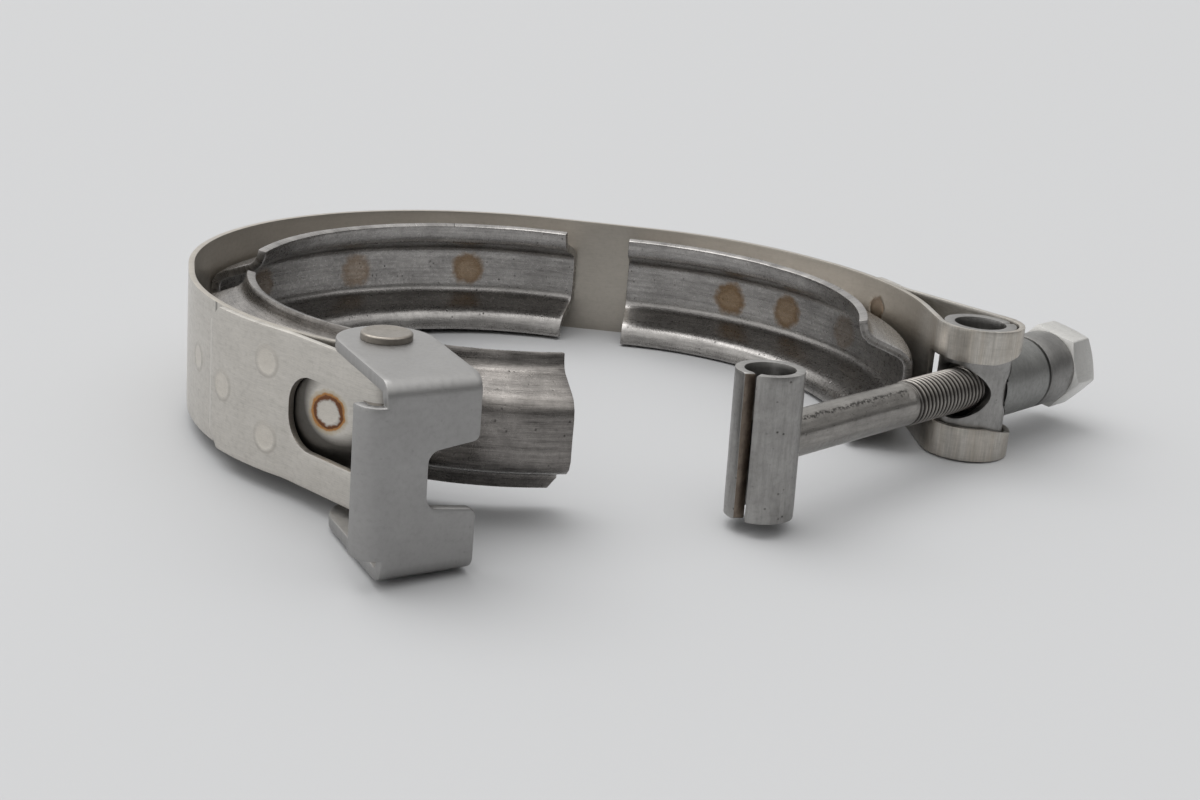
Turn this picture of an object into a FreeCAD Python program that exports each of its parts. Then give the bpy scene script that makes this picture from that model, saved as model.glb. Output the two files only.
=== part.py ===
import FreeCAD, Part
import math
import os

# V band clamp, drawn lying flat and sprung open. Millimetres and degrees.
# +Z is the ring's axis and z = 0 is its middle plane. The origin is the centre
# of the back left segment. All plan angles are counted from +X towards +Y.

# ---- strap: one stainless band, folded back on itself at both ends ----
STRAP_WIDTH = 19.05          # 3/4 in band stock
STRAP_SHEET = 0.8
RING_RADIUS = 44.5           # outer face of the band where it lies on a segment
LAP_GAP = 0.04               # air between the two layers of a folded end

# ---- retainer segments: three alike, roll formed to a V ----
SEGMENT_SHEET = 1.25
SEGMENT_SPAN = 97.0
CROWN_HEIGHT = 8.2           # flat of the V that the band is welded to
FLANGE_RUN = 6.5             # radial reach of the slanted flange
FLANGE_ANGLE = 20.0          # flange from the ring's plane
FOOT_HEIGHT = 2.4
FOOT_LEAN = 0.6              # the foot's tip leans in by this much

# ---- how far the ring is sprung open, as plan places of the segments ----
BACK_LEFT_START = 77.0
FRONT_LEFT_CENTRE = (1.0, -3.9)
FRONT_LEFT_START = 188.8
BACK_RIGHT_CENTRE = (16.5, -2.0)
BACK_RIGHT_END = 87.0
NECK_SHIFT = 3.0             # straight run of the band where it leaves the last segment
NECK_DIRECTION = -45.0

# ---- latch end of the strap ----
FREE_END_LEFT = 217.0        # outer layer's free end, about the front left segment
FREE_END_CHAMFER = 2.2
LAUNCH_ANGLE = 237.0         # where the outer layer leaves the inner one
LAUNCH_BEND = 8.0
LATCH_PIN_ANGLE = 256.55
LATCH_PIN_RADIUS = 2.4
LATCH_PIN_FIT = 0.1
LATCH_LOOP_RISE = 0.3        # the loop stands this far off the inner layer
WINDOW_HEIGHT = 9.6
WINDOW_ROUND = 4.2
WINDOW_LOOP_SHARE = 0.85     # share of the loop round the pin that is cut away
EYE_ROUND = 1.2              # corner radius of the windows where they end at a loop

# ---- latch: pressed channel on the pin ----
LATCH_SHEET = 1.5
LATCH_HEIGHT = 23.8
LATCH_REACH = 16.9           # pin axis to the outer face of the web
LATCH_AIM = -56.4            # plan direction from the pin to the web
LATCH_EAR_RADIUS = 6.0
LATCH_LEFT = 9.6             # web's reach to either side of the pin
LATCH_RIGHT = 3.9
LATCH_BEND = 1.25            # bend radius at the middle of the sheet
LIP_DEPTH = 3.6              # side lip behind the web's outer face
LIP_HEIGHT = 18.0
LIP_BEND = 1.9
SLOT_DEPTH = 6.3
SLOT_INNER = 6.6             # slot width at its inner end
SLOT_MOUTH = 8.3
SLOT_ROUND = 1.3
PRONG_BEVEL = 0.7
PIN_HEAD_RADIUS = 3.15
PIN_HEAD = 0.9
PIN_PEEN = 0.4

# ---- trunnion end of the strap ----
TRUNNION_BEARING = -1.7      # of the trunnion from the middle of the neck's curve
TRUNNION_STANDOFF = 0.45
TRUNNION_RADIUS = 5.15
TRUNNION_WALL = 1.45
TRUNNION_HEIGHT = 18.6
TRUNNION_PLAY = 0.3          # between the trunnion and the loop round it
TRUNNION_CROSS_HOLE = 4.0    # radius of the hole that the bolt passes through
TRUNNION_SEAM_TURN = -27.2   # seam, counted from the bolt's direction
SEAM_GAP = 0.45
LANDING_ANGLE = 22.0         # where the outer layer comes down on the inner one
LANDING_BEND = 3.0
FREE_END_RIGHT = 33.0
EYE_LEAD = 2.0               # the window starts this far before the loop
EYE_WIDE_START = 286.0       # from here, about the trunnion, the window widens
EYE_WIDE_HEIGHT = 12.2
EYE_SLANT = 6.0              # length of the slanted shoulder between the two widths
EYE_RUN = 13.6               # length of the window past the loop, for the spacer

# ---- T-bolt, spacer, collar and nut along the bolt's axis ----
BOLT_AIM = 47.2              # plan direction from the T-head to the nut
THREAD_RADIUS = 3.175        # 1/4-28 UNF
SHANK_RADIUS = 3.0
THREAD_START = 16.0          # before the trunnion's axis
BOLT_END = 25.8              # past the trunnion's axis
BOLT_CHAMFER = 0.6
RUNOUT_LENGTH = 0.5
T_HEAD_DISTANCE = 47.4
T_HEAD_RADIUS = 4.45
T_HEAD_WALL = 1.15
T_HEAD_HEIGHT = 19.0
T_HEAD_ROLL = -1.75           # turn of the cross head about the bolt
T_HEAD_HOLE_PLAY = 0.05
SPACER_RADIUS = 5.5
SPACER_END = 12.7
SPACER_SEAT = 0.02
SADDLE_START = 1.0           # how far the saddle wraps round the trunnion
BORE_PLAY = 0.13
COLLAR_GAP = 0.35            # groove seen between spacer and collar
COLLAR_END = 19.4
COLLAR_SPIGOT = 4.4          # radius of the collar's face that bears on the spacer
NUT_GAP = 0.05
NUT_HEIGHT = 5.55            # 7/32 in
NUT_ACROSS_FLATS = 11.11     # 7/16 in
NUT_FIT = 0.03
NUT_TURN = 12.0
NUT_CHAMFER = 0.55

# ---- spot welds: angle, height and the layers that they join ----
WELD_RADIUS = 1.95
WELD_CROWN = 0.1             # a nugget stands this proud of the band
LAP_WELDS_LEFT = ((233.3, 5.0), (221.3, -0.6), (233.3, -5.0))
LAP_WELDS_RIGHT = ((27.5, 5.0), (27.5, -5.0))

# ---- derived sizes ----
BAND_MID = RING_RADIUS - STRAP_SHEET / 2
LAP_MID = BAND_MID + STRAP_SHEET + LAP_GAP
CROWN_RADIUS = RING_RADIUS - STRAP_SHEET
PIN_LOOP_MID = LATCH_PIN_RADIUS + LATCH_PIN_FIT + STRAP_SHEET / 2
TRUNNION_LOOP_MID = TRUNNION_RADIUS + TRUNNION_PLAY + STRAP_SHEET / 2
ORIGIN = (0.0, 0.0)
LEFT = 1
RIGHT = -1


def polar(centre, radius, angle):
    """Plan point at an angle about a centre."""
    turn = math.radians(angle)
    return (centre[0] + radius * math.cos(turn), centre[1] + radius * math.sin(turn))


NECK_CENTRE = polar(BACK_RIGHT_CENTRE, NECK_SHIFT, NECK_DIRECTION)
LATCH_PIN_PLACE = polar(
    FRONT_LEFT_CENTRE, BAND_MID + PIN_LOOP_MID + LATCH_LOOP_RISE, LATCH_PIN_ANGLE)
TRUNNION_PLACE = polar(
    NECK_CENTRE, BAND_MID + TRUNNION_LOOP_MID + TRUNNION_STANDOFF, TRUNNION_BEARING)


# ---- bent sheet: a run of straight lines and arcs, thickened and extruded ----

def line(start, end):
    """Straight piece of a path."""
    return ("line", start, end)


def arc(centre, radius, start_angle, sweep):
    """Curved piece of a path; a positive sweep turns left."""
    return ("arc", centre, radius, start_angle, sweep)


def belt(circles, start_angle, end_angle):
    """Path that wraps a list of (centre, radius, turn) like a belt on pulleys."""
    arrivals = [start_angle]
    departures = []
    for here, there in zip(circles, circles[1:]):
        across = (there[0][0] - here[0][0], there[0][1] - here[0][1])
        offset = there[2] * there[1] - here[2] * here[1]
        bearing = math.atan2(across[1], across[0])
        heading = math.degrees(bearing - math.asin(offset / math.hypot(*across)))
        departures.append(heading - 90 * here[2])
        arrivals.append(heading - 90 * there[2])
    departures.append(end_angle)
    path = []
    for index, (centre, radius, turn) in enumerate(circles):
        sweep = turn * ((turn * (departures[index] - arrivals[index])) % 360)
        path.append(arc(centre, radius, arrivals[index], sweep))
        if index + 1 < len(circles):
            following = circles[index + 1]
            leaving = polar(centre, radius, departures[index])
            landing = polar(following[0], following[1], arrivals[index + 1])
            path.append(line(leaving, landing))
    return path


def rounded(points, radius):
    """Path through the points with every corner rounded to one radius."""
    path = []
    start = points[0]
    for before, corner, after in zip(points, points[1:], points[2:]):
        coming = math.atan2(corner[1] - before[1], corner[0] - before[0])
        going = math.atan2(after[1] - corner[1], after[0] - corner[0])
        turn = (going - coming + math.pi) % (2 * math.pi) - math.pi
        cut = radius * math.tan(abs(turn) / 2)
        entry = (corner[0] - cut * math.cos(coming), corner[1] - cut * math.sin(coming))
        side = math.copysign(90, turn)
        centre = polar(entry, radius, math.degrees(coming) + side)
        path.append(line(start, entry))
        path.append(arc(centre, radius, math.degrees(coming) - side, math.degrees(turn)))
        start = (corner[0] + cut * math.cos(going), corner[1] + cut * math.sin(going))
    path.append(line(start, points[-1]))
    return path


def length_of(piece):
    if piece[0] == "line":
        return math.dist(piece[1], piece[2])
    return piece[2] * math.radians(abs(piece[4]))


def trimmed(piece, start, end):
    """The part of a path piece between two distances from its start."""
    first, last = start / length_of(piece), end / length_of(piece)
    if piece[0] == "line":
        ends = [tuple(a + (b - a) * share for a, b in zip(piece[1], piece[2]))
                for share in (first, last)]
        return line(ends[0], ends[1])
    centre, radius, start_angle, sweep = piece[1:]
    return arc(centre, radius, start_angle + sweep * first, sweep * (last - first))


def vertex(point):
    return FreeCAD.Vector(point[0], point[1], 0)


def edge_beside(piece, shift):
    """Edge at a distance to the left of a path piece, with its two ends."""
    if piece[0] == "line":
        heading = math.degrees(math.atan2(piece[2][1] - piece[1][1], piece[2][0] - piece[1][0]))
        ends = [vertex(polar(point, shift, heading + 90)) for point in piece[1:]]
        return Part.LineSegment(ends[0], ends[1]).toShape(), ends[0], ends[1]
    centre, radius, start_angle, sweep = piece[1:]
    shifted = radius - math.copysign(1, sweep) * shift
    places = [vertex(polar(centre, shifted, start_angle + sweep * share)) for share in (0, 0.5, 1)]
    return Part.Arc(*places).toShape(), places[0], places[2]


def sheet_face(path, left, right):
    """Plan face that reaches the given distances to both sides of a path."""
    path = [piece for piece in path if length_of(piece) > 1e-6]
    left_side = [edge_beside(piece, left) for piece in path]
    right_side = [edge_beside(piece, -right) for piece in path]
    start_cap = Part.LineSegment(right_side[0][1], left_side[0][1]).toShape()
    end_cap = Part.LineSegment(left_side[-1][2], right_side[-1][2]).toShape()
    edges = [start_cap, end_cap] + [side[0] for side in left_side + right_side]
    return Part.Face(Part.Wire(Part.__sortEdges__(edges)))


def standing(face, height):
    """Plan face extruded to both sides of z = 0."""
    face.translate(FreeCAD.Vector(0, 0, -height / 2))
    return face.extrude(FreeCAD.Vector(0, 0, height))


def bent_sheet(path, thickness, height):
    """Bent sheet standing on edge."""
    return standing(sheet_face(path, thickness / 2, thickness / 2), height)


def corner_edges(solid, place, half_height, reach):
    """Short edges through the sheet at a plan place and at both heights."""
    found = []
    for edge in solid.Edges:
        middle = edge.CenterOfMass
        near = math.hypot(middle.x - place[0], middle.y - place[1]) < reach
        if near and abs(abs(middle.z) - half_height) < 0.3 and edge.Length < 2 * reach:
            found.append(edge)
    return found


def piece_end(piece, share):
    """Plan point at a share of a path piece."""
    if piece[0] == "line":
        return tuple(a + (b - a) * share for a, b in zip(piece[1], piece[2]))
    return polar(piece[1], piece[2], piece[3] + piece[4] * share)


# ---- placing things ----

def radial_disc(centre, angle, height, radius, inner, outer):
    """Short cylinder whose axis is a radius of the ring."""
    start = polar(centre, inner, angle)
    toward = FreeCAD.Vector(math.cos(math.radians(angle)), math.sin(math.radians(angle)), 0)
    return Part.makeCylinder(
        radius, outer - inner, FreeCAD.Vector(start[0], start[1], height), toward)


def on_bolt_axis(shape):
    """Moves a shape drawn along +X to the bolt's axis through the trunnion."""
    shape.rotate(FreeCAD.Vector(0, 0, 0), FreeCAD.Vector(0, 0, 1), BOLT_AIM)
    shape.translate(vertex(TRUNNION_PLACE))
    return shape


def along_x(radius, start, end):
    """Cylinder along the X axis."""
    return Part.makeCylinder(
        radius, end - start, FreeCAD.Vector(start, 0, 0), FreeCAD.Vector(1, 0, 0))


def turned(profile):
    """Solid turned about the X axis from (x, radius) points."""
    points = [FreeCAD.Vector(x, radius, 0) for x, radius in profile]
    face = Part.Face(Part.makePolygon(points + points[:1]))
    return face.revolve(FreeCAD.Vector(0, 0, 0), FreeCAD.Vector(1, 0, 0), 360)


# ---- the pieces ----

def beside(points, shift):
    """Polyline at a distance to the left of a polyline, with mitred corners."""
    moved = []
    for index, point in enumerate(points):
        before = points[max(index - 1, 0)]
        after = points[min(index + 1, len(points) - 1)]
        coming = math.atan2(point[1] - before[1], point[0] - before[0])
        going = math.atan2(after[1] - point[1], after[0] - point[0])
        if index == 0:
            coming = going
        if index == len(points) - 1:
            going = coming
        half_turn = ((going - coming + math.pi) % (2 * math.pi) - math.pi) / 2
        reach = shift / math.cos(half_turn)
        moved.append(polar(point, reach, math.degrees(coming + half_turn) + 90))
    return moved


def make_segment(centre, start_angle):
    """One roll formed retainer segment: crown, two slanted flanges and two feet."""
    crown = CROWN_RADIUS - SEGMENT_SHEET / 2
    foot = crown - FLANGE_RUN
    crown_edge = CROWN_HEIGHT / 2
    foot_edge = crown_edge + FLANGE_RUN * math.tan(math.radians(FLANGE_ANGLE))
    tip_edge = foot_edge + FOOT_HEIGHT
    upper = [(crown, crown_edge), (foot, foot_edge), (foot - FOOT_LEAN, tip_edge)]
    lower = [(radius, -height) for radius, height in reversed(upper)]
    half = SEGMENT_SHEET / 2
    outline = beside(lower + upper, half) + beside(lower + upper, -half)[::-1]
    points = [FreeCAD.Vector(radius, 0, height) for radius, height in outline]
    profile = Part.Face(Part.makePolygon(points + points[:1]))
    segment = profile.revolve(FreeCAD.Vector(0, 0, 0), FreeCAD.Vector(0, 0, 1), SEGMENT_SPAN)
    segment.rotate(FreeCAD.Vector(0, 0, 0), FreeCAD.Vector(0, 0, 1), start_angle)
    segment.translate(vertex(centre))
    return segment


def strap_path():
    """Middle line of the whole band, from its left free end to its right one."""
    launch = polar(FRONT_LEFT_CENTRE, LAP_MID + LAUNCH_BEND + LAP_GAP, LAUNCH_ANGLE)
    landing = polar(NECK_CENTRE, LAP_MID + LANDING_BEND + LAP_GAP, LANDING_ANGLE)
    circles = [
        (FRONT_LEFT_CENTRE, LAP_MID, LEFT),
        (launch, LAUNCH_BEND, RIGHT),
        (LATCH_PIN_PLACE, PIN_LOOP_MID, LEFT),
        (FRONT_LEFT_CENTRE, BAND_MID, RIGHT),
        (ORIGIN, BAND_MID, RIGHT),
        (BACK_RIGHT_CENTRE, BAND_MID, RIGHT),
        (NECK_CENTRE, BAND_MID, RIGHT),
        (TRUNNION_PLACE, TRUNNION_LOOP_MID, LEFT),
        (landing, LANDING_BEND, RIGHT),
        (NECK_CENTRE, LAP_MID, LEFT),
    ]
    return belt(circles, FREE_END_LEFT, FREE_END_RIGHT)


def window(path, height):
    """Tool that cuts a window through the outer layer and a loop of the band."""
    left = STRAP_SHEET / 2 + LAP_GAP / 2
    right = STRAP_SHEET
    return standing(sheet_face(path, left, right), height)


def latch_window(path):
    """D shaped window that leaves two eyes round the latch pin."""
    straight, loop = path[3], path[4]
    cut = window([straight, trimmed(loop, 0, WINDOW_LOOP_SHARE * length_of(loop))], WINDOW_HEIGHT)
    start = corner_edges(cut, piece_end(straight, 0), WINDOW_HEIGHT / 2, STRAP_SHEET)
    cut = cut.makeFillet(WINDOW_ROUND, start)
    end = corner_edges(cut, piece_end(loop, WINDOW_LOOP_SHARE), WINDOW_HEIGHT / 2, STRAP_SHEET)
    return cut.makeFillet(EYE_ROUND, end)


def trunnion_window(path):
    """Window that leaves two eyes round the trunnion and widens for the spacer."""
    lead, loop, straight = path[13], path[14], path[15]
    widening = TRUNNION_LOOP_MID * math.radians((EYE_WIDE_START - loop[3]) % 360)
    narrow = window(
        [trimmed(lead, length_of(lead) - EYE_LEAD, length_of(lead)),
         trimmed(loop, 0, widening + EYE_SLANT)], WINDOW_HEIGHT)
    entry = piece_end(lead, 1 - EYE_LEAD / length_of(lead))
    narrow = narrow.makeFillet(
        EYE_ROUND, corner_edges(narrow, entry, WINDOW_HEIGHT / 2, STRAP_SHEET))
    wide = window(
        [trimmed(loop, widening, length_of(loop)), trimmed(straight, 0, EYE_RUN)], EYE_WIDE_HEIGHT)
    shoulder = corner_edges(
        wide, piece_end(loop, widening / length_of(loop)), EYE_WIDE_HEIGHT / 2, STRAP_SHEET)
    wide = wide.makeChamfer(EYE_SLANT, (EYE_WIDE_HEIGHT - WINDOW_HEIGHT) / 2, shoulder)
    far_end = piece_end(straight, EYE_RUN / length_of(straight))
    wide = wide.makeFillet(
        EYE_ROUND, corner_edges(wide, far_end, EYE_WIDE_HEIGHT / 2, STRAP_SHEET))
    return narrow.fuse(wide)


def weld_nuggets():
    """Spot welds, each a button that stands slightly proud of the band."""
    lap_face = RING_RADIUS + LAP_GAP + STRAP_SHEET + WELD_CROWN
    inner = RING_RADIUS - STRAP_SHEET / 2
    nuggets = []
    for centre, welds in ((FRONT_LEFT_CENTRE, LAP_WELDS_LEFT), (NECK_CENTRE, LAP_WELDS_RIGHT)):
        for angle, height in welds:
            nuggets.append(radial_disc(centre, angle, height, WELD_RADIUS, inner, lap_face))
    return nuggets


def make_strap():
    """The whole band: two laps, two split loops and the run round the segments."""
    path = strap_path()
    strap = bent_sheet(path, STRAP_SHEET, STRAP_WIDTH)
    for place in (piece_end(path[0], 0), piece_end(path[-1], 1)):
        strap = strap.makeChamfer(
            FREE_END_CHAMFER, corner_edges(strap, place, STRAP_WIDTH / 2, STRAP_SHEET))
    strap = strap.cut(latch_window(path)).cut(trunnion_window(path))
    return strap.fuse(weld_nuggets())


def latch_outline():
    """Plan outline of the latch: a round ear about the pin, widening to the web."""
    ear = (0.0, 0.0)
    corners = []
    for side, reach in ((RIGHT, LATCH_LEFT), (LEFT, LATCH_RIGHT)):
        corner = (LATCH_REACH, side * reach)
        distance = math.hypot(*corner)
        bearing = math.degrees(math.atan2(corner[1], corner[0]))
        touch = math.degrees(math.acos(LATCH_EAR_RADIUS / distance))
        corners.append((corner, polar(ear, LATCH_EAR_RADIUS, bearing + side * touch)))
    (low_corner, low_touch), (high_corner, high_touch) = corners
    back = polar(ear, LATCH_EAR_RADIUS, 180)
    edges = [
        Part.LineSegment(vertex(low_touch), vertex(low_corner)).toShape(),
        Part.LineSegment(vertex(low_corner), vertex(high_corner)).toShape(),
        Part.LineSegment(vertex(high_corner), vertex(high_touch)).toShape(),
        Part.Arc(vertex(high_touch), vertex(back), vertex(low_touch)).toShape(),
    ]
    return Part.Face(Part.Wire(edges))


def latch_slot():
    """Flared slot through the web, open to the right."""
    inner, mouth = SLOT_INNER / 2, SLOT_MOUTH / 2
    floor = LATCH_RIGHT - SLOT_DEPTH
    prong = LATCH_RIGHT - PRONG_BEVEL
    outside = LATCH_RIGHT + 1
    wide = mouth + outside - prong
    corners = [
        (floor, -inner),
        (prong, -mouth),
        (outside, -wide),
        (outside, wide),
        (prong, mouth),
        (floor, inner),
    ]
    start = LATCH_REACH - 2 * LATCH_SHEET
    points = [FreeCAD.Vector(start, side, height) for side, height in corners]
    slot = Part.Face(Part.makePolygon(points + points[:1])).extrude(
        FreeCAD.Vector(3 * LATCH_SHEET, 0, 0))
    bottom = [edge for edge in slot.Edges
              if abs(edge.CenterOfMass.y - floor) < 0.01 and abs(edge.CenterOfMass.z) > inner - 0.01]
    return slot.makeFillet(SLOT_ROUND, bottom)


def make_latch():
    """Pressed channel: web with a slot, two flanges with ears, and a side lip."""
    shelf = (LATCH_HEIGHT - LATCH_SHEET) / 2
    web = LATCH_REACH - LATCH_SHEET / 2
    half = LATCH_SHEET / 2
    back = -LATCH_EAR_RADIUS - 1
    section = sheet_face(
        rounded([(back, -shelf), (web, -shelf), (web, shelf), (back, shelf)], LATCH_BEND), half, half)
    section.rotate(FreeCAD.Vector(0, 0, 0), FreeCAD.Vector(1, 0, 0), 90)
    width = 2 * (LATCH_LEFT + LATCH_EAR_RADIUS)
    section.translate(FreeCAD.Vector(0, width / 2, 0))
    channel = section.extrude(FreeCAD.Vector(0, -width, 0))
    latch = channel.common(standing(latch_outline(), LATCH_HEIGHT))
    lip_side = LATCH_LEFT + LATCH_SHEET / 2 - half
    bend_start = -(lip_side - LIP_BEND)
    relief_height = LIP_HEIGHT + LATCH_SHEET
    relief = Part.makeBox(
        2 * LATCH_SHEET, LATCH_LEFT, relief_height,
        FreeCAD.Vector(web - LATCH_SHEET, bend_start - LATCH_LEFT, -relief_height / 2))
    lip = bent_sheet(
        rounded([(LATCH_REACH - LIP_DEPTH, -lip_side), (web, -lip_side), (web, 0)], LIP_BEND),
        LATCH_SHEET, LIP_HEIGHT)
    latch = latch.cut(relief).fuse(lip).cut(latch_slot())
    pin_hole = Part.makeCylinder(
        LATCH_PIN_RADIUS, 2 * LATCH_HEIGHT, FreeCAD.Vector(0, 0, -LATCH_HEIGHT))
    latch = latch.cut(pin_hole)
    latch.rotate(FreeCAD.Vector(0, 0, 0), FreeCAD.Vector(0, 0, 1), LATCH_AIM)
    latch.translate(vertex(LATCH_PIN_PLACE))
    return latch


def make_latch_pin():
    """Headed pin, peened over under the lower flange."""
    top = LATCH_HEIGHT / 2
    profile = [
        (-top - PIN_PEEN, 0),
        (-top - PIN_PEEN, PIN_HEAD_RADIUS - PIN_PEEN),
        (-top, PIN_HEAD_RADIUS),
        (-top, LATCH_PIN_RADIUS),
        (top, LATCH_PIN_RADIUS),
        (top, PIN_HEAD_RADIUS),
        (top + PIN_HEAD * 0.8, PIN_HEAD_RADIUS),
        (top + PIN_HEAD, PIN_HEAD_RADIUS - PIN_HEAD * 0.3),
        (top + PIN_HEAD, 0),
    ]
    pin = turned(profile)
    pin.rotate(FreeCAD.Vector(0, 0, 0), FreeCAD.Vector(0, 1, 0), -90)
    pin.translate(vertex(LATCH_PIN_PLACE))
    return pin


def rolled_tube(radius, wall, height, seam_angle):
    """Tube rolled from sheet, with an open seam along it."""
    tube = Part.makeCylinder(radius, height).cut(Part.makeCylinder(radius - wall, height))
    seam = Part.makeBox(2 * radius, SEAM_GAP, height, FreeCAD.Vector(0, -SEAM_GAP / 2, 0))
    seam.rotate(FreeCAD.Vector(0, 0, 0), FreeCAD.Vector(0, 0, 1), seam_angle)
    tube = tube.cut(seam)
    tube.translate(FreeCAD.Vector(0, 0, -height / 2))
    return tube


def make_trunnion():
    """Rolled trunnion with the hole that the bolt passes through."""
    tube = rolled_tube(TRUNNION_RADIUS, TRUNNION_WALL, TRUNNION_HEIGHT, TRUNNION_SEAM_TURN)
    entry = along_x(TRUNNION_CROSS_HOLE, -2 * TRUNNION_RADIUS, 0)
    exit_hole = along_x(THREAD_RADIUS + BORE_PLAY, 0, 2 * TRUNNION_RADIUS)
    return on_bolt_axis(tube.cut(entry).cut(exit_hole))


def make_spacer():
    """Sleeve with a saddle end that bears on the trunnion."""
    sleeve = along_x(SPACER_RADIUS, SADDLE_START, SPACER_END)
    saddle = Part.makeCylinder(
        TRUNNION_RADIUS + SPACER_SEAT, 4 * SPACER_RADIUS, FreeCAD.Vector(0, 0, -2 * SPACER_RADIUS))
    bore = along_x(THREAD_RADIUS + BORE_PLAY, 0, SPACER_END)
    return on_bolt_axis(sleeve.cut(saddle).cut(bore))


def make_collar():
    """Thrust collar between the spacer and the nut."""
    face = SPACER_END + COLLAR_GAP
    bore = THREAD_RADIUS + BORE_PLAY
    profile = [
        (SPACER_END, bore),
        (SPACER_END, COLLAR_SPIGOT),
        (face, COLLAR_SPIGOT),
        (face, SPACER_RADIUS),
        (COLLAR_END, SPACER_RADIUS),
        (COLLAR_END, bore),
    ]
    return on_bolt_axis(turned(profile))


def make_nut():
    """Hexagon nut, chamfered on its outer end."""
    start = COLLAR_END + NUT_GAP
    end = start + NUT_HEIGHT
    corner = NUT_ACROSS_FLATS / 2 / math.cos(math.radians(30))
    places = [polar(ORIGIN, corner, NUT_TURN + 60 * index) for index in range(6)]
    points = [FreeCAD.Vector(start, across, up) for across, up in places]
    prism = Part.Face(Part.makePolygon(points + points[:1])).extrude(
        FreeCAD.Vector(NUT_HEIGHT, 0, 0))
    slope = NUT_CHAMFER / math.tan(math.radians(30))
    envelope = turned([
        (start, 0),
        (start, corner + NUT_CHAMFER),
        (end - NUT_CHAMFER, corner + NUT_CHAMFER),
        (end - NUT_CHAMFER, corner),
        (end, corner - slope),
        (end, 0),
    ])
    bore = along_x(THREAD_RADIUS + NUT_FIT, start, end)
    return on_bolt_axis(prism.common(envelope).cut(bore))


def make_bolt():
    """Shank and thread of the T-bolt; the thread is plain at its outer diameter."""
    head = -T_HEAD_DISTANCE - (T_HEAD_RADIUS - T_HEAD_WALL) * 0.4
    profile = [
        (head, 0),
        (head, SHANK_RADIUS),
        (-THREAD_START - RUNOUT_LENGTH, SHANK_RADIUS),
        (-THREAD_START, THREAD_RADIUS),
        (BOLT_END - BOLT_CHAMFER, THREAD_RADIUS),
        (BOLT_END, THREAD_RADIUS - BOLT_CHAMFER),
        (BOLT_END, 0),
    ]
    return on_bolt_axis(turned(profile))


def make_t_head():
    """Rolled cross head of the T-bolt, pierced for the shank."""
    tube = rolled_tube(T_HEAD_RADIUS, T_HEAD_WALL, T_HEAD_HEIGHT, 180)
    hole = along_x(SHANK_RADIUS + T_HEAD_HOLE_PLAY, 0, 2 * T_HEAD_RADIUS)
    tube = tube.cut(hole)
    tube.translate(FreeCAD.Vector(-T_HEAD_DISTANCE, 0, 0))
    tube.rotate(FreeCAD.Vector(0, 0, 0), FreeCAD.Vector(1, 0, 0), T_HEAD_ROLL)
    return on_bolt_axis(tube)


def main():
    os.makedirs("parts", exist_ok=True)
    pieces = {
        "strap": make_strap(),
        "segment_front_left": make_segment(FRONT_LEFT_CENTRE, FRONT_LEFT_START),
        "segment_back_left": make_segment(ORIGIN, BACK_LEFT_START),
        "segment_back_right": make_segment(BACK_RIGHT_CENTRE, BACK_RIGHT_END - SEGMENT_SPAN),
        "latch": make_latch(),
        "latch_pin": make_latch_pin(),
        "trunnion": make_trunnion(),
        "spacer_sleeve": make_spacer(),
        "thrust_collar": make_collar(),
        "nut": make_nut(),
        "bolt_shank": make_bolt(),
        "t_head": make_t_head(),
    }
    for name, shape in pieces.items():
        solid = shape.removeSplitter()
        print(name, "valid", solid.isValid(), "solids", len(solid.Solids), "mm3", round(solid.Volume, 1))
        solid.exportStep("parts/%s.step" % name)


main()
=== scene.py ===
"""V band clamp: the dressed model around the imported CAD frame. Lengths in this file are in millimetres
until a mesh is made, which scales them to metres."""
import bmesh
import bpy
import math
from mathutils import Matrix, Vector, noise
from mathutils.geometry import delaunay_2d_cdt


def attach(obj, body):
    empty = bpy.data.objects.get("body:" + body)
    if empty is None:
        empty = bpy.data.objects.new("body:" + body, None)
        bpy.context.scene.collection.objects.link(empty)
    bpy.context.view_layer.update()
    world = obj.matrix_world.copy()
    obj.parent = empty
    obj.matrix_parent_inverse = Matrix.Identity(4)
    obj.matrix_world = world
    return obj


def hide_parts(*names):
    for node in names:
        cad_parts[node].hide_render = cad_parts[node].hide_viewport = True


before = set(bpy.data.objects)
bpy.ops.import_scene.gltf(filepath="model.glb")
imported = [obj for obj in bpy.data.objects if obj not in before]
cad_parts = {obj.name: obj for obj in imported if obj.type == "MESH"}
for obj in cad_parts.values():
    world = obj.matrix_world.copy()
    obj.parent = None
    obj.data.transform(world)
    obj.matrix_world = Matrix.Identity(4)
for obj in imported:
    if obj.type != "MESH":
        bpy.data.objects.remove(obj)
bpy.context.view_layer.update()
MM = 0.001
LEFT = 1
RIGHT = -1

# ---- the CAD's sizes ----
STRAP_WIDTH = 19.05
STRAP_SHEET = 0.8
RING_RADIUS = 44.5
LAP_GAP = 0.04
SEGMENT_SHEET = 1.25
SEGMENT_SPAN = 97.0
CROWN_HEIGHT = 8.2
FLANGE_RUN = 6.5
FLANGE_ANGLE = 20.0
FOOT_HEIGHT = 2.4
FOOT_LEAN = 0.6
SEGMENT_BEND = 2.2
BACK_LEFT_START = 77.0
FRONT_LEFT_CENTRE = (1.0, -3.9)
FRONT_LEFT_START = 188.8
BACK_RIGHT_CENTRE = (16.5, -2.0)
BACK_RIGHT_START = 87.0 - SEGMENT_SPAN
NECK_SHIFT = 3.0
NECK_DIRECTION = -45.0
FREE_END_LEFT = 217.0
FREE_END_RIGHT = 33.0
FREE_END_CHAMFER = 2.2
LAUNCH_ANGLE = 237.0
LAUNCH_BEND = 8.0
LANDING_ANGLE = 22.0
LANDING_BEND = 3.0
LATCH_PIN_ANGLE = 256.55
LATCH_PIN_RADIUS = 2.4
LATCH_PIN_FIT = 0.1
LATCH_LOOP_RISE = 0.3
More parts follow.
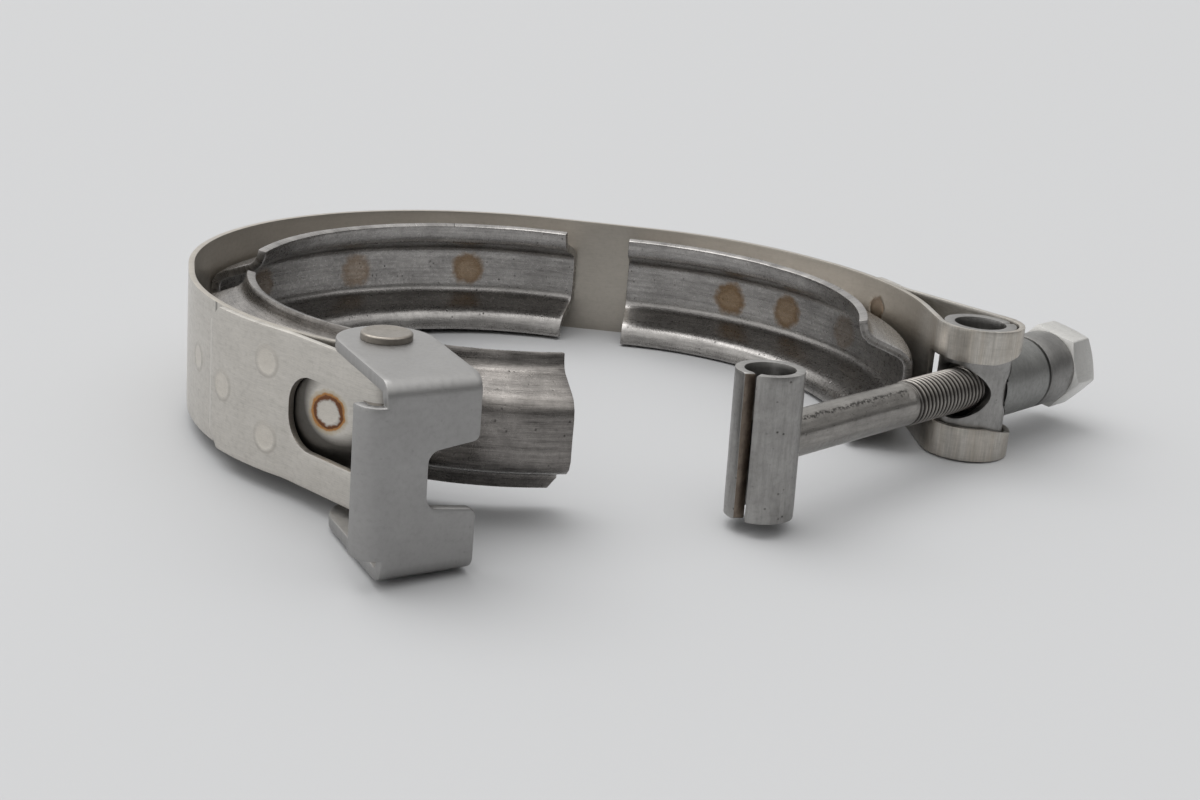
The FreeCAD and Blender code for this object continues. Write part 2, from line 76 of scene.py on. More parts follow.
WINDOW_HEIGHT = 9.6
WINDOW_ROUND = 4.2
WINDOW_LOOP_SHARE = 0.85
EYE_ROUND = 1.2
EYE_STEP_ROUND = 1.5
EYE_LEAD = 2.0
EYE_WIDE_START = 286.0
EYE_WIDE_HEIGHT = 12.2
EYE_SLANT = 6.0
EYE_RUN = 13.6
LATCH_SHEET = 1.5
LATCH_HEIGHT = 23.8
LATCH_REACH = 16.9
LATCH_AIM = -56.4
LATCH_EAR_RADIUS = 6.0
LATCH_LEFT = 9.6
LATCH_RIGHT = 3.9
LATCH_BEND = 1.25
LIP_DEPTH = 3.6
LIP_HEIGHT = 18.0
LIP_BEND = 1.9
LATCH_CORNER = LATCH_LEFT - LIP_BEND + 0.25
SLOT_DEPTH = 6.3
SLOT_INNER = 6.6
SLOT_MOUTH = 8.3
PIN_HEAD_RADIUS = 3.15
PIN_HEAD = 0.9
PIN_PEEN = 0.4
TRUNNION_BEARING = -1.7
TRUNNION_STANDOFF = 0.45
TRUNNION_RADIUS = 5.15
TRUNNION_WALL = 1.45
TRUNNION_HEIGHT = 18.6
TRUNNION_PLAY = 0.3
TRUNNION_CROSS_HOLE = 4.0
TRUNNION_SEAM_TURN = -27.2
SEAM_GAP = 0.45
BOLT_AIM = 47.2
THREAD_RADIUS = 3.175
THREAD_LEAD = 25.4 / 28
SHANK_RADIUS = 3.0
THREAD_START = 16.0
BOLT_END = 25.8
BOLT_CHAMFER = 0.6
T_HEAD_DISTANCE = 47.4
T_HEAD_RADIUS = 4.45
T_HEAD_WALL = 1.15
T_HEAD_HEIGHT = 19.0
T_HEAD_ROLL = -1.75
T_HEAD_SEAM = 1.5
T_HEAD_SEAM_TURN = 184.7
T_HEAD_SEAM_SLANT = 11.0
T_HEAD_SLANT_REACH = 30.0
SPACER_RADIUS = 5.5
SPACER_END = 12.7
SPACER_SEAT = 0.02
SADDLE_START = 1.0
BORE_PLAY = 0.13
COLLAR_GAP = 0.35
COLLAR_END = 19.4
COLLAR_SPIGOT = 4.4
NUT_GAP = 0.05
NUT_HEIGHT = 5.55
NUT_ACROSS_FLATS = 11.11
NUT_FIT = 0.03
NUT_TURN = 12.0
NUT_CHAMFER = 0.55
LAP_WELDS_LEFT = ((233.3, 5.0), (221.3, -0.6), (233.3, -5.0))
LAP_WELDS_RIGHT = ((27.5, 5.0), (27.5, -5.0))
FRONT_LEFT_WELDS = (245.4, 208.0)
BACK_LEFT_WELDS = (155.0, 128.0, 101.4)
BACK_RIGHT_WELDS = (62.7, 48.0)
WELD_FIELD = 2.6
END_CUT_HEIGHT = 1.6
SHANK_FLATS = (96, 141, 178, 214)
SHANK_FLAT_SHARE = 0.968
THREAD_DEPTH = 0.52
THREAD_FADE = 1.6
THREAD_LEAD_IN = 2.0

BAND_MID = RING_RADIUS - STRAP_SHEET / 2
LAP_MID = BAND_MID + STRAP_SHEET + LAP_GAP
CROWN_RADIUS = RING_RADIUS - STRAP_SHEET
PIN_LOOP_MID = LATCH_PIN_RADIUS + LATCH_PIN_FIT + STRAP_SHEET / 2
TRUNNION_LOOP_MID = TRUNNION_RADIUS + TRUNNION_PLAY + STRAP_SHEET / 2
ORIGIN = (0.0, 0.0)


def polar(centre, radius, angle):
    turn = math.radians(angle)
    return (centre[0] + radius * math.cos(turn), centre[1] + radius * math.sin(turn))


NECK_CENTRE = polar(BACK_RIGHT_CENTRE, NECK_SHIFT, NECK_DIRECTION)
LATCH_PIN_PLACE = polar(
    FRONT_LEFT_CENTRE, BAND_MID + PIN_LOOP_MID + LATCH_LOOP_RISE, LATCH_PIN_ANGLE)
TRUNNION_PLACE = polar(
    NECK_CENTRE, BAND_MID + TRUNNION_LOOP_MID + TRUNNION_STANDOFF, TRUNNION_BEARING)


# ---- paths of bent sheet, as in the CAD ----

def line(start, end):
    return ("line", start, end)


def arc(centre, radius, start_angle, sweep):
    return ("arc", centre, radius, start_angle, sweep)


def belt(circles, start_angle, end_angle):
    arrivals = [start_angle]
    departures = []
    for here, there in zip(circles, circles[1:]):
        across = (there[0][0] - here[0][0], there[0][1] - here[0][1])
        offset = there[2] * there[1] - here[2] * here[1]
        bearing = math.atan2(across[1], across[0])
        heading = math.degrees(bearing - math.asin(offset / math.hypot(*across)))
        departures.append(heading - 90 * here[2])
        arrivals.append(heading - 90 * there[2])
    departures.append(end_angle)
    path = []
    for index, (centre, radius, turn) in enumerate(circles):
        sweep = turn * ((turn * (departures[index] - arrivals[index])) % 360)
        path.append(arc(centre, radius, arrivals[index], sweep))
        if index + 1 < len(circles):
            following = circles[index + 1]
            path.append(line(polar(centre, radius, departures[index]),
                             polar(following[0], following[1], arrivals[index + 1])))
    return path


def corner_arc(before, corner, after, radius):
    """What rounds a corner: entry, centre, start angle, turn and way out."""
    coming = math.atan2(corner[1] - before[1], corner[0] - before[0])
    going = math.atan2(after[1] - corner[1], after[0] - corner[0])
    turn = (going - coming + math.pi) % (2 * math.pi) - math.pi
    cut = radius * math.tan(abs(turn) / 2)
    entry = (corner[0] - cut * math.cos(coming), corner[1] - cut * math.sin(coming))
    leave = (corner[0] + cut * math.cos(going), corner[1] + cut * math.sin(going))
    side = math.copysign(90, turn)
    centre = polar(entry, radius, math.degrees(coming) + side)
    return entry, centre, math.degrees(coming) - side, math.degrees(turn), leave


def rounded(points, radius):
    path = []
    start = points[0]
    for before, corner, after in zip(points, points[1:], points[2:]):
        entry, centre, first, turn, leave = corner_arc(before, corner, after, radius)
        path += [line(start, entry), arc(centre, radius, first, turn)]
        start = leave
    path.append(line(start, points[-1]))
    return path


def length_of(piece):
    if piece[0] == "line":
        return math.dist(piece[1], piece[2])
    return piece[2] * math.radians(abs(piece[4]))


class Route:
    """A path measured by distance from its start."""

    def __init__(self, path):
        self.pieces = path
        self.starts = [0.0]
        for piece in path:
            self.starts.append(self.starts[-1] + length_of(piece))
        self.length = self.starts[-1]

    def at(self, distance):
        """Plan point and left normal at a distance."""
        index = 0
        while index + 1 < len(self.pieces) and distance > self.starts[index + 1]:
            index += 1
        piece = self.pieces[index]
        along = distance - self.starts[index]
        if piece[0] == "line":
            heading = math.atan2(piece[2][1] - piece[1][1], piece[2][0] - piece[1][0])
            point = (piece[1][0] + along * math.cos(heading), piece[1][1] + along * math.sin(heading))
            return point, (-math.sin(heading), math.cos(heading))
        centre, radius, start_angle, sweep = piece[1:]
        way = math.copysign(1, sweep)
        angle = start_angle + way * math.degrees(along / radius)
        turn = math.radians(angle)
        return polar(centre, radius, angle), (-way * math.cos(turn), -way * math.sin(turn))

    def stations(self, longest, finest_turn=7.0):
        """Distances that divide the path finely enough for its bends."""
        found = [0.0]
        for index, piece in enumerate(self.pieces):
            length = length_of(piece)
            if length < 1e-6:
                continue
            steps = math.ceil(length / longest)
            if piece[0] == "arc":
                steps = max(steps, math.ceil(abs(piece[4]) / finest_turn))
            found += [self.starts[index] + length * (k + 1) / steps for k in range(steps)]
        return found


# ---- mesh tools ----

def linked(name, data):
    obj = bpy.data.objects.new(name, data)
    bpy.context.scene.collection.objects.link(obj)
    return obj


def new_object(name, verts, faces, uvs=None):
    mesh = bpy.data.meshes.new(name)
    mesh.from_pydata([Vector(v) * MM for v in verts], [], faces)
    if uvs is not None:
        layer = mesh.uv_layers.new(name="Sheet")
        for loop in mesh.loops:
            layer.data[loop.index].uv = uvs[loop.vertex_index]
    mesh.validate()
    return linked(name, mesh)


def apply_modifiers(obj, sharp):
    """Applies the modifiers, then smooths the faces up to an angle."""
    bpy.context.view_layer.update()
    graph = bpy.context.evaluated_depsgraph_get()
    mesh = bpy.data.meshes.new_from_object(obj.evaluated_get(graph))
    obj.modifiers.clear()
    obj.data = mesh
    mesh.shade_smooth()
    mesh.set_sharp_from_angle(angle=math.radians(sharp))
    return obj


def inside(point, loop):
    """Whether a plan point is inside a closed loop."""
    x, y = point
    hit = False
    for (ax, ay), (bx, by) in zip(loop, loop[1:] + loop[:1]):
        if (ay > y) != (by > y) and x < (bx - ax) * (y - ay) / (by - ay) + ax:
            hit = not hit
    return hit


def gap_to(point, loop):
    """Distance from a point to a closed loop."""
    best = 1e9
    px, py = point
    for (ax, ay), (bx, by) in zip(loop, loop[1:] + loop[:1]):
        dx, dy = bx - ax, by - ay
        size = dx * dx + dy * dy
        share = 0.0 if size == 0 else max(0.0, min(1.0, ((px - ax) * dx + (py - ay) * dy) / size))
        best = min(best, math.hypot(px - ax - share * dx, py - ay - share * dy))
    return best


def divided(loop, longest):
    """Closed loop with its long sides divided."""
    found = []
    for a, b in zip(loop, loop[1:] + loop[:1]):
        steps = max(1, math.ceil(math.dist(a, b) / longest))
        found += [(a[0] + (b[0] - a[0]) * k / steps, a[1] + (b[1] - a[1]) * k / steps)
                  for k in range(steps)]
    return found


def round_corners(loop, radii, steps=6):
    """Closed loop with its corners rounded, by one radius or each by its own."""
    found = []
    for index, corner in enumerate(loop):
        radius = radii.get(index, 0) if isinstance(radii, dict) else radii
        if radius <= 0:
            found.append(corner)
            continue
        after = loop[(index + 1) % len(loop)]
        _, centre, first, turn, _ = corner_arc(loop[index - 1], corner, after, radius)
        found += [polar(centre, radius, first + turn * k / steps) for k in range(steps + 1)]
    return found


def clear_points(columns, rows, outline, holes, gap):
    """Grid points inside an outline that keep clear of its edge and its holes."""
    return [(x, y) for x in columns for y in rows
            if inside((x, y), outline) and gap_to((x, y), outline) > gap
            and not any(inside((x, y), hole) or gap_to((x, y), hole) < gap for hole in holes)]


def flat_sheet(outline, holes, inner):
    """Triangles that fill a flat outline, with its holes and inner points."""
    points, edges = [], []
    for loop in [outline] + holes:
        first = len(points)
        points += loop
        edges += [(first + k, first + (k + 1) % len(loop)) for k in range(len(loop))]
    made = delaunay_2d_cdt([Vector(point) for point in points + inner], edges, [], 0, 1e-5)
    verts, faces = made[0], made[2]
    kept = []
    for face in faces:
        middle = tuple(sum(verts[k][axis] for k in face) / len(face) for axis in (0, 1))
        if inside(middle, outline) and not any(inside(middle, hole) for hole in holes):
            kept.append(face)
    return [tuple(vert) for vert in verts], kept


def pressed(name, flat, place, thickness, edge, sharp=35.0, left_slot=0):
    """Bends a flat sheet mesh to its place and gives it thickness and soft edges."""
    verts, faces = flat
    obj = new_object(name, [place(x, y) for x, y in verts], faces, verts)
    obj.data.materials.append(None)
    obj.data.materials.append(None)
    solid = obj.modifiers.new("sheet", "SOLIDIFY")
    solid.thickness = thickness * MM
    solid.offset = 0
    solid.use_even_offset = True
    solid.use_quality_normals = True
    solid.material_offset = left_slot
    bevel = obj.modifiers.new("edges", "BEVEL")
    bevel.width = edge * MM
    bevel.segments = 2
    bevel.limit_method = "ANGLE"
    bevel.angle_limit = math.radians(35)
    bevel.use_clamp_overlap = True
    return apply_modifiers(obj, sharp)


def weld_poles(obj):
    """Merges the points that meet on an axis and makes the normals point out."""
    work = bmesh.new()
    work.from_mesh(obj.data)
    bmesh.ops.remove_doubles(work, verts=work.verts, dist=1e-7)
    bmesh.ops.dissolve_degenerate(work, edges=work.edges, dist=1e-7)
    bmesh.ops.recalc_face_normals(work, faces=work.faces)
    work.to_mesh(obj.data)
    work.free()
    return obj


def lathed(name, column, count, slip=0.0):
    """Closed solid about X; column(turn) is its loop of (x, radius) points."""
    verts, faces, marks = [], [], []
    for k in range(count):
        turn = 2 * math.pi * k / count
        points = column(turn)
        size = len(points)
        verts += [(x, radius * math.cos(turn), radius * math.sin(turn)) for x, radius in points]
        marks += [(x + slip * radius, radius * turn) for x, radius in points]
    for k in range(count):
        beside = (k + 1) % count
        for index in range(size):
            after = (index + 1) % size
            faces.append((k * size + index, k * size + after, beside * size + after, beside * size + index))
    return weld_poles(new_object(name, verts, faces, marks))


def placed(obj, matrix):
    obj.data.transform(matrix)
    return obj


def plan_matrix(place, aim):
    """Turns about Z and moves to a plan place, for meshes already in metres."""
    return Matrix.Translation(Vector((place[0], place[1], 0)) * MM) @ Matrix.Rotation(
        math.radians(aim), 4, "Z")


BOLT_FRAME = plan_matrix(TRUNNION_PLACE, BOLT_AIM)
LATCH_FRAME = plan_matrix(LATCH_PIN_PLACE, LATCH_AIM)


def spread(start, end, step):
    count = max(1, math.ceil((end - start) / step))
    return [start + (end - start) * k / count for k in range(count + 1)]


# ---- strap ----

def strap_route():
    launch = polar(FRONT_LEFT_CENTRE, LAP_MID + LAUNCH_BEND + LAP_GAP, LAUNCH_ANGLE)
    landing = polar(NECK_CENTRE, LAP_MID + LANDING_BEND + LAP_GAP, LANDING_ANGLE)
    return Route(belt([
        (FRONT_LEFT_CENTRE, LAP_MID, LEFT),
        (launch, LAUNCH_BEND, RIGHT),
        (LATCH_PIN_PLACE, PIN_LOOP_MID, LEFT),
        (FRONT_LEFT_CENTRE, BAND_MID, RIGHT),
        (ORIGIN, BAND_MID, RIGHT),
        (BACK_RIGHT_CENTRE, BAND_MID, RIGHT),
        (NECK_CENTRE, BAND_MID, RIGHT),
        (TRUNNION_PLACE, TRUNNION_LOOP_MID, LEFT),
        (landing, LANDING_BEND, RIGHT),
        (NECK_CENTRE, LAP_MID, LEFT),
    ], FREE_END_LEFT, FREE_END_RIGHT))


def strap_welds(route):
    """(distance along the band, height, kind) of every spot weld on every layer."""
    found = []
    rows = (
        (0, LAP_WELDS_LEFT, "lap"),
        (18, LAP_WELDS_RIGHT, "lap"),
        (6, LAP_WELDS_LEFT, "under"),
        (6, [(angle, 0.3) for angle in FRONT_LEFT_WELDS], "seat"),
        (8, [(angle, 0.0) for angle in BACK_LEFT_WELDS], "seat"),
        (10, [(angle, 0.0) for angle in BACK_RIGHT_WELDS], "seat"),
        (12, LAP_WELDS_RIGHT, "under"),
    )
    for index, welds, kind in rows:
        _, radius, start_angle, sweep = route.pieces[index][1:]
        for angle, height in welds:
            turned_by = (math.copysign(1, sweep) * (angle - start_angle)) % 360
            if turned_by <= abs(sweep):
                found.append((route.starts[index] + radius * math.radians(turned_by), height, kind))
    return found


def weld_relief(away):
    """Height of a spot weld's dish and rim at a distance from its middle."""
    dish = -0.03 if away < 1.5 else 0.0
    rim = 0.055 * math.exp(-((away - 1.8) / 0.16) ** 2)
    moat = 0.03 * math.exp(-((away - 2.3) / 0.3) ** 2)
    return dish + rim - moat


def make_strap():
    route = strap_route()
    half = STRAP_WIDTH / 2
    cut = FREE_END_CHAMFER
    end = route.length
    outline = [(cut, -half), (end - cut, -half), (end, cut - half), (end, half - cut),
               (end - cut, half), (cut, half), (0, half - cut), (0, cut - half)]
    outline = divided(round_corners(outline, 0.5, 3), 1.5)
    left_start = route.starts[3]
    loop = route.starts[4]
    left_end = loop + WINDOW_LOOP_SHARE * length_of(route.pieces[4])
    tall = WINDOW_HEIGHT / 2
    left_hole = round_corners(
        [(left_start, -tall), (left_end, -tall), (left_end, tall), (left_start, tall)],
        {0: WINDOW_ROUND, 1: EYE_ROUND, 2: EYE_ROUND, 3: WINDOW_ROUND}, 10)
    widening = route.starts[14] + TRUNNION_LOOP_MID * math.radians(
        (EYE_WIDE_START - route.pieces[14][3]) % 360)
    far = route.starts[15] + EYE_RUN
    near = route.starts[14] - EYE_LEAD
    wide = EYE_WIDE_HEIGHT / 2
    right_hole = round_corners(
        [(near, -tall), (widening, -tall), (widening + EYE_SLANT, -wide), (far, -wide),
         (far, wide), (widening + EYE_SLANT, wide), (widening, tall), (near, tall)],
        {k: EYE_STEP_ROUND if k in (1, 2, 5, 6) else EYE_ROUND for k in range(8)}, 6)
    welds = strap_welds(route)
    rings = []
    for along, height, _ in welds:
        for radius in (0.5, 1.0, 1.4, 1.65, 1.8, 1.95, 2.1, 2.35):
            count = 14 if radius < 1.3 else 26
            rings += [(along + radius * math.cos(2 * math.pi * k / count),
                       height + radius * math.sin(2 * math.pi * k / count)) for k in range(count)]
        rings.append((along, height))
    rows = spread(-half, half, 1.25)[1:-1] + [-half + 0.45, half - 0.45]
    holes = [divided(left_hole, 1.0), divided(right_hole, 1.0)]
    grid = [spot for spot in clear_points(route.stations(1.3), rows, outline, holes, 0.25)
            if all(math.dist(spot, weld[:2]) > WELD_FIELD for weld in welds)]
    flat = flat_sheet(outline, holes, grid + rings)

    def place(along, height):
        (x, y), (nx, ny) = route.at(min(max(along, 0.0), end))
        push = 0.0
        for where, level, kind in welds:
            away = math.hypot(along - where, height - level)
            if away < WELD_FIELD:
                push += weld_relief(away) * (-1 if kind == "lap" else 1)
        wave = 0.05 * noise.noise(Vector((along * 0.09, height * 0.12, 3.1)))
        push += wave if 30 < along < end - 30 else 0.0
        return (x + nx * push, y + ny * push, height)

    obj = pressed("strap_dressed", flat, place, STRAP_SHEET, 0.14, 32.0, 1)
    return obj, route


# ---- retainer segments ----

def segment_profile():
    crown = CROWN_RADIUS - SEGMENT_SHEET / 2
    foot = crown - FLANGE_RUN
    crown_edge = CROWN_HEIGHT / 2
    foot_edge = crown_edge + FLANGE_RUN * math.tan(math.radians(FLANGE_ANGLE))
    tip_edge = foot_edge + FOOT_HEIGHT
    upper = [(crown, crown_edge), (foot, foot_edge), (foot - FOOT_LEAN, tip_edge)]
    lower = [(radius, -height) for radius, height in reversed(upper)]
    return Route(rounded(lower + upper, SEGMENT_BEND))


def make_segment(name, centre, start_angle, seed, end_cut=0.0, end_dent=0.0):
    profile = segment_profile()
    reach = RING_RADIUS * math.radians(SEGMENT_SPAN)
    tall = profile.length
    corner = [(reach - end_cut, 0), (reach, END_CUT_HEIGHT)] if end_cut else [(reach, 0)]
    outline = divided([(0, 0)] + corner + [(reach, tall), (0, tall)], 1.1)
    rows = profile.stations(0.9, 12.0)[1:-1]
    columns = spread(0, reach, 1.1)[1:-1]
    flat = flat_sheet(outline, [], clear_points(columns, rows, outline, [], 0.2))

    def place(along, across):
        (radius, height), (nr, nz) = profile.at(across)
        angle = start_angle + math.degrees(along / RING_RADIUS)
        push = 0.06 * noise.noise(Vector((along * 0.16, across * 0.25, seed)))
        push += 0.03 * noise.noise(Vector((along * 0.05, across * 1.1, seed + 7)))
        from_end = reach - along
        if end_dent and from_end < 9:
            ridge = across - tall * 0.5 - 0.9 + 0.42 * (from_end - 3.0)
            push += end_dent * math.exp(-(ridge / 0.7) ** 2) * math.exp(-((from_end - 3.6) / 2.6) ** 2)
        push = min(push, 0.0) if 0.3 * tall < across < 0.7 * tall else push
        x, y = polar(centre, radius + nr * push, angle)
        return (x, y, height + nz * push)

    return pressed(name, flat, place, SEGMENT_SHEET, 0.16)


# ---- latch ----

def make_latch():
    shelf = (LATCH_HEIGHT - LATCH_SHEET) / 2
    web = LATCH_REACH - LATCH_SHEET / 2
    back = -LATCH_EAR_RADIUS
    section = Route(rounded([(back, -shelf), (web, -shelf), (web, shelf), (back, shelf)], LATCH_BEND))
    flat_end, web_start, web_end = section.starts[1:4]
    total = section.length
    web_middle = (web_start + web_end) / 2
    sides = {}
    for side, reach in ((RIGHT, LATCH_CORNER), (LEFT, LATCH_RIGHT)):
        corner = (LATCH_REACH, side * reach)
        distance = math.hypot(*corner)
        bearing = math.degrees(math.atan2(corner[1], corner[0]))
        touch = bearing + side * math.degrees(math.acos(LATCH_EAR_RADIUS / distance))
        sides[side] = (polar(ORIGIN, LATCH_EAR_RADIUS, touch), corner, touch)

    def edge_at(side, reach):
        (tx, ty), (cx, cy), _ = sides[side]
        return ty + (cy - ty) * (reach - tx) / (cx - tx)

    low_touch, high_touch = sides[RIGHT][2] % 360, sides[LEFT][2] % 360
    ear = [polar(ORIGIN, LATCH_EAR_RADIUS, angle)
           for angle in spread(high_touch, low_touch, (low_touch - high_touch) / 26)]
    def bend_edges(side):
        """Edge points of the unrolled sheet through its first bend."""
        found = []
        for k in range(7):
            run = (web_start - flat_end) * k / 6
            reach = web - LATCH_BEND + LATCH_BEND * math.sin(run / LATCH_BEND)
            found.append((flat_end + run, edge_at(side, reach)))
        return found

    def mirrored(points):
        """The same edge on the other shelf, followed the other way."""
        return [(total - x, y) for x, y in reversed(points)]

    right_web = edge_at(LEFT, web)
    lip_start = -(LATCH_LEFT - LIP_BEND)
    lip_end = lip_start - LIP_BEND * math.pi / 2 - (web - LIP_BEND - (LATCH_REACH - LIP_DEPTH))
    lip_half = LIP_HEIGHT / 2
    lower_ear = [(x - back, y) for x, y in ear]
    lip = [(web_middle - lip_half, lip_start), (web_middle - lip_half, lip_end),
           (web_middle + lip_half, lip_end), (web_middle + lip_half, lip_start)]
    floor = LATCH_RIGHT - SLOT_DEPTH
    slot = [(web_middle + SLOT_MOUTH / 2, right_web), (web_middle + SLOT_INNER / 2, floor),
            (web_middle - SLOT_INNER / 2, floor), (web_middle - SLOT_MOUTH / 2, right_web)]
    notch = round_corners([(web_end, right_web)] + slot + [(web_start, right_web)],
                          {1: 1.0, 2: 1.5, 3: 1.5, 4: 1.0}, 6)
    bend_right, bend_left = bend_edges(RIGHT), bend_edges(LEFT)[::-1]
    outline = lower_ear[-1:] + bend_right + lip + mirrored(bend_right) + mirrored(lower_ear)
    outline += mirrored(bend_left) + notch[1:-1] + bend_left + lower_ear[:-1]
    cleaned = []
    for spot in outline:
        if not cleaned or math.dist(spot, cleaned[-1]) > 0.02:
            cleaned.append(spot)
    outline = divided(cleaned, 1.0)
    hole = [polar((-back, 0), LATCH_PIN_RADIUS, 360 * k / 32) for k in range(32)]
    holes = [hole, [(total - x, y) for x, y in hole]]
    columns = section.stations(0.9, 14.0)
    rows = [row for row in spread(-LATCH_LEFT - 0.2, LATCH_RIGHT + 4, 0.8) if row > lip_start + 0.3]
    rows += [lip_start - LIP_BEND * math.pi / 2 * k / 8 for k in range(9)] + [lip_end + 0.35, lip_end + 0.7]
    flat = flat_sheet(outline, holes, clear_points(columns, rows, outline, holes, 0.22))

    def place(along, side):
        (reach, height), (nr, nz) = section.at(min(max(along, 0.0), total))
        on_web = abs(along - web_middle) < lip_half + 0.01
        if on_web and side < lip_start:
            run = lip_start - side
            angle = min(run / LIP_BEND, math.pi / 2)
            rest = max(0.0, run - LIP_BEND * math.pi / 2)
            reach = web - LIP_BEND * (1 - math.cos(angle)) - rest
            side = lip_start - LIP_BEND * math.sin(angle)
        push = 0.035 * noise.noise(Vector((along * 0.13, side * 0.17, 5.0)))
        return (reach + nr * push, side, height + nz * push)

    return placed(pressed("latch_dressed", flat, place, LATCH_SHEET, 0.28), LATCH_FRAME)


def make_latch_pin():
    top = LATCH_HEIGHT / 2
    round_edge = 0.32
    head = []
    for k in range(1, 5):
        turn = math.pi / 8 * k
        head.append((top + PIN_HEAD - round_edge * (1 - math.sin(turn)),
                     PIN_HEAD_RADIUS - round_edge * (1 - math.cos(turn))))
    crown = [(top + PIN_HEAD, PIN_HEAD_RADIUS - 0.5), (top + PIN_HEAD - 0.1, PIN_HEAD_RADIUS - 1.1),
             (top + PIN_HEAD - 0.13, 1.0), (top + PIN_HEAD - 0.13, 0.0)]
    profile = [(-top - PIN_PEEN, 0.0), (-top - PIN_PEEN, 1.6), (-top - PIN_PEEN * 0.85, 2.5),
               (-top - PIN_PEEN * 0.45, 3.0), (-top + 0.02, PIN_HEAD_RADIUS), (-top + 0.03, LATCH_PIN_RADIUS),
               (top - 0.03, LATCH_PIN_RADIUS), (top - 0.02, PIN_HEAD_RADIUS - 0.06),
               (top + 0.08, PIN_HEAD_RADIUS)]
    profile += head + crown
    obj = lathed("latch_pin_dressed", lambda turn: profile, 72, 0.3)
    placed(obj, Matrix.Rotation(math.radians(-90), 4, "Y"))
    return placed(apply_modifiers(obj, 30.0), LATCH_FRAME)


# ---- tubes, sleeve, collar, nut and bolt ----

def cross_hole(radius, tube, centre_angle, count=48):
    """Loop on an unrolled tube where a round hole crosses it: (arc length, height)."""
    loop = []
    for k in range(count):
        turn = 2 * math.pi * k / count
        side = max(-0.999, min(0.999, radius * math.cos(turn) / tube))
        loop.append((tube * (math.radians(centre_angle) + math.asin(side)), radius * math.sin(turn)))
    return loop


def rolled_tube(name, radius, wall, height, seam_angle, seam, holes, edge, seed):
    """Tube rolled from sheet, closed up to an open seam."""
    middle = radius - wall / 2
    open_half = seam / 2 / middle
    start = middle * (math.radians(seam_angle) + open_half)
    end = middle * (math.radians(seam_angle) + 2 * math.pi - open_half)
    half = height / 2
    outline = divided(round_corners([(start, -half), (end, -half), (end, half), (start, half)], 0.3, 3), 0.8)
    loops = []
    for hole_radius, centre_angle in holes:
        angle = centre_angle
        while middle * math.radians(angle) < start:
            angle += 360
        loops.append(cross_hole(hole_radius, middle, angle))
    inner = clear_points(spread(start, end, 0.45), spread(-half, half, 0.9), outline, loops, 0.2)
    flat = flat_sheet(outline, loops, inner)

    def place(along, level):
        turn = along / middle
        worn = noise.noise(Vector((math.cos(turn) * 2, math.sin(turn) * 2, level * 0.2 + seed)))
        reach = middle - 0.03 + 0.03 * worn
        return (reach * math.cos(turn), reach * math.sin(turn), level)

    return pressed(name, flat, place, wall, edge)


def make_trunnion():
    obj = rolled_tube(
        "trunnion_dressed", TRUNNION_RADIUS, TRUNNION_WALL, TRUNNION_HEIGHT, TRUNNION_SEAM_TURN, SEAM_GAP,
        [(TRUNNION_CROSS_HOLE, 180), (THREAD_RADIUS + BORE_PLAY, 0)], 0.2, 2.0)
    return placed(obj, BOLT_FRAME)


def slant_seam(obj):
    """Leaves the sheet's sheared end longer on the inside than on the outside."""
    middle = T_HEAD_RADIUS - T_HEAD_WALL / 2
    edge = T_HEAD_SEAM_TURN - math.degrees(T_HEAD_SEAM / 2 / middle)
    for vertex in obj.data.vertices:
        x, y, z = vertex.co
        reach = math.hypot(x, y)
        angle = math.degrees(math.atan2(y, x)) % 360
        near = max(0.0, 1 - (edge - angle) / T_HEAD_SLANT_REACH) if angle <= edge + 1 else 0.0
        deep = min(1.0, max(0.0, (T_HEAD_RADIUS * MM - reach) / (T_HEAD_WALL * MM)))
        turn = math.radians(angle + T_HEAD_SEAM_SLANT * deep * near * near)
        vertex.co = (reach * math.cos(turn), reach * math.sin(turn), z)
    obj.data.update()
    for face in obj.data.polygons:
        outward = Vector((face.center.x, face.center.y, 0)).normalized()
        on_seam = abs(math.degrees(math.atan2(face.center.y, face.center.x)) % 360 - T_HEAD_SEAM_TURN) < 20
        if on_seam and abs(face.normal.z) < 0.5 and abs(face.normal.dot(outward)) < 0.62:
            face.material_index = 1


def make_t_head():
    obj = rolled_tube(
        "t_head_dressed", T_HEAD_RADIUS, T_HEAD_WALL, T_HEAD_HEIGHT, T_HEAD_SEAM_TURN, T_HEAD_SEAM,
        [(SHANK_RADIUS + 0.05, 0)], 0.2, 9.0)
    slant_seam(obj)
    placed(obj, Matrix.Translation(Vector((-T_HEAD_DISTANCE * MM, 0, 0))))
    placed(obj, Matrix.Rotation(math.radians(T_HEAD_ROLL), 4, "X"))
    return placed(obj, BOLT_FRAME)


def make_sleeve():
    """Sleeve whose end is saddled to the trunnion."""
    bore = THREAD_RADIUS + BORE_PLAY
    saddle = TRUNNION_RADIUS + SPACER_SEAT
    end = SPACER_END
    soft = 0.18

    def column(turn):
        points = []
        for radius in (bore, (bore + SPACER_RADIUS) / 2, SPACER_RADIUS - soft, SPACER_RADIUS):
            across = radius * math.cos(turn)
            points.append((max(SADDLE_START, math.sqrt(max(0.0, saddle * saddle - across * across))), radius))
        first = points[-1][0] + soft * 0.5
        points[-1] = (first, SPACER_RADIUS)
        points += [(first + (end - soft - first) * j / 5, SPACER_RADIUS) for j in range(1, 6)]
        return points + [(end, SPACER_RADIUS - soft), (end, bore + soft), (end - soft, bore)]

    obj = lathed("spacer_sleeve_dressed", column, 120)
    return placed(apply_modifiers(obj, 30.0), BOLT_FRAME)


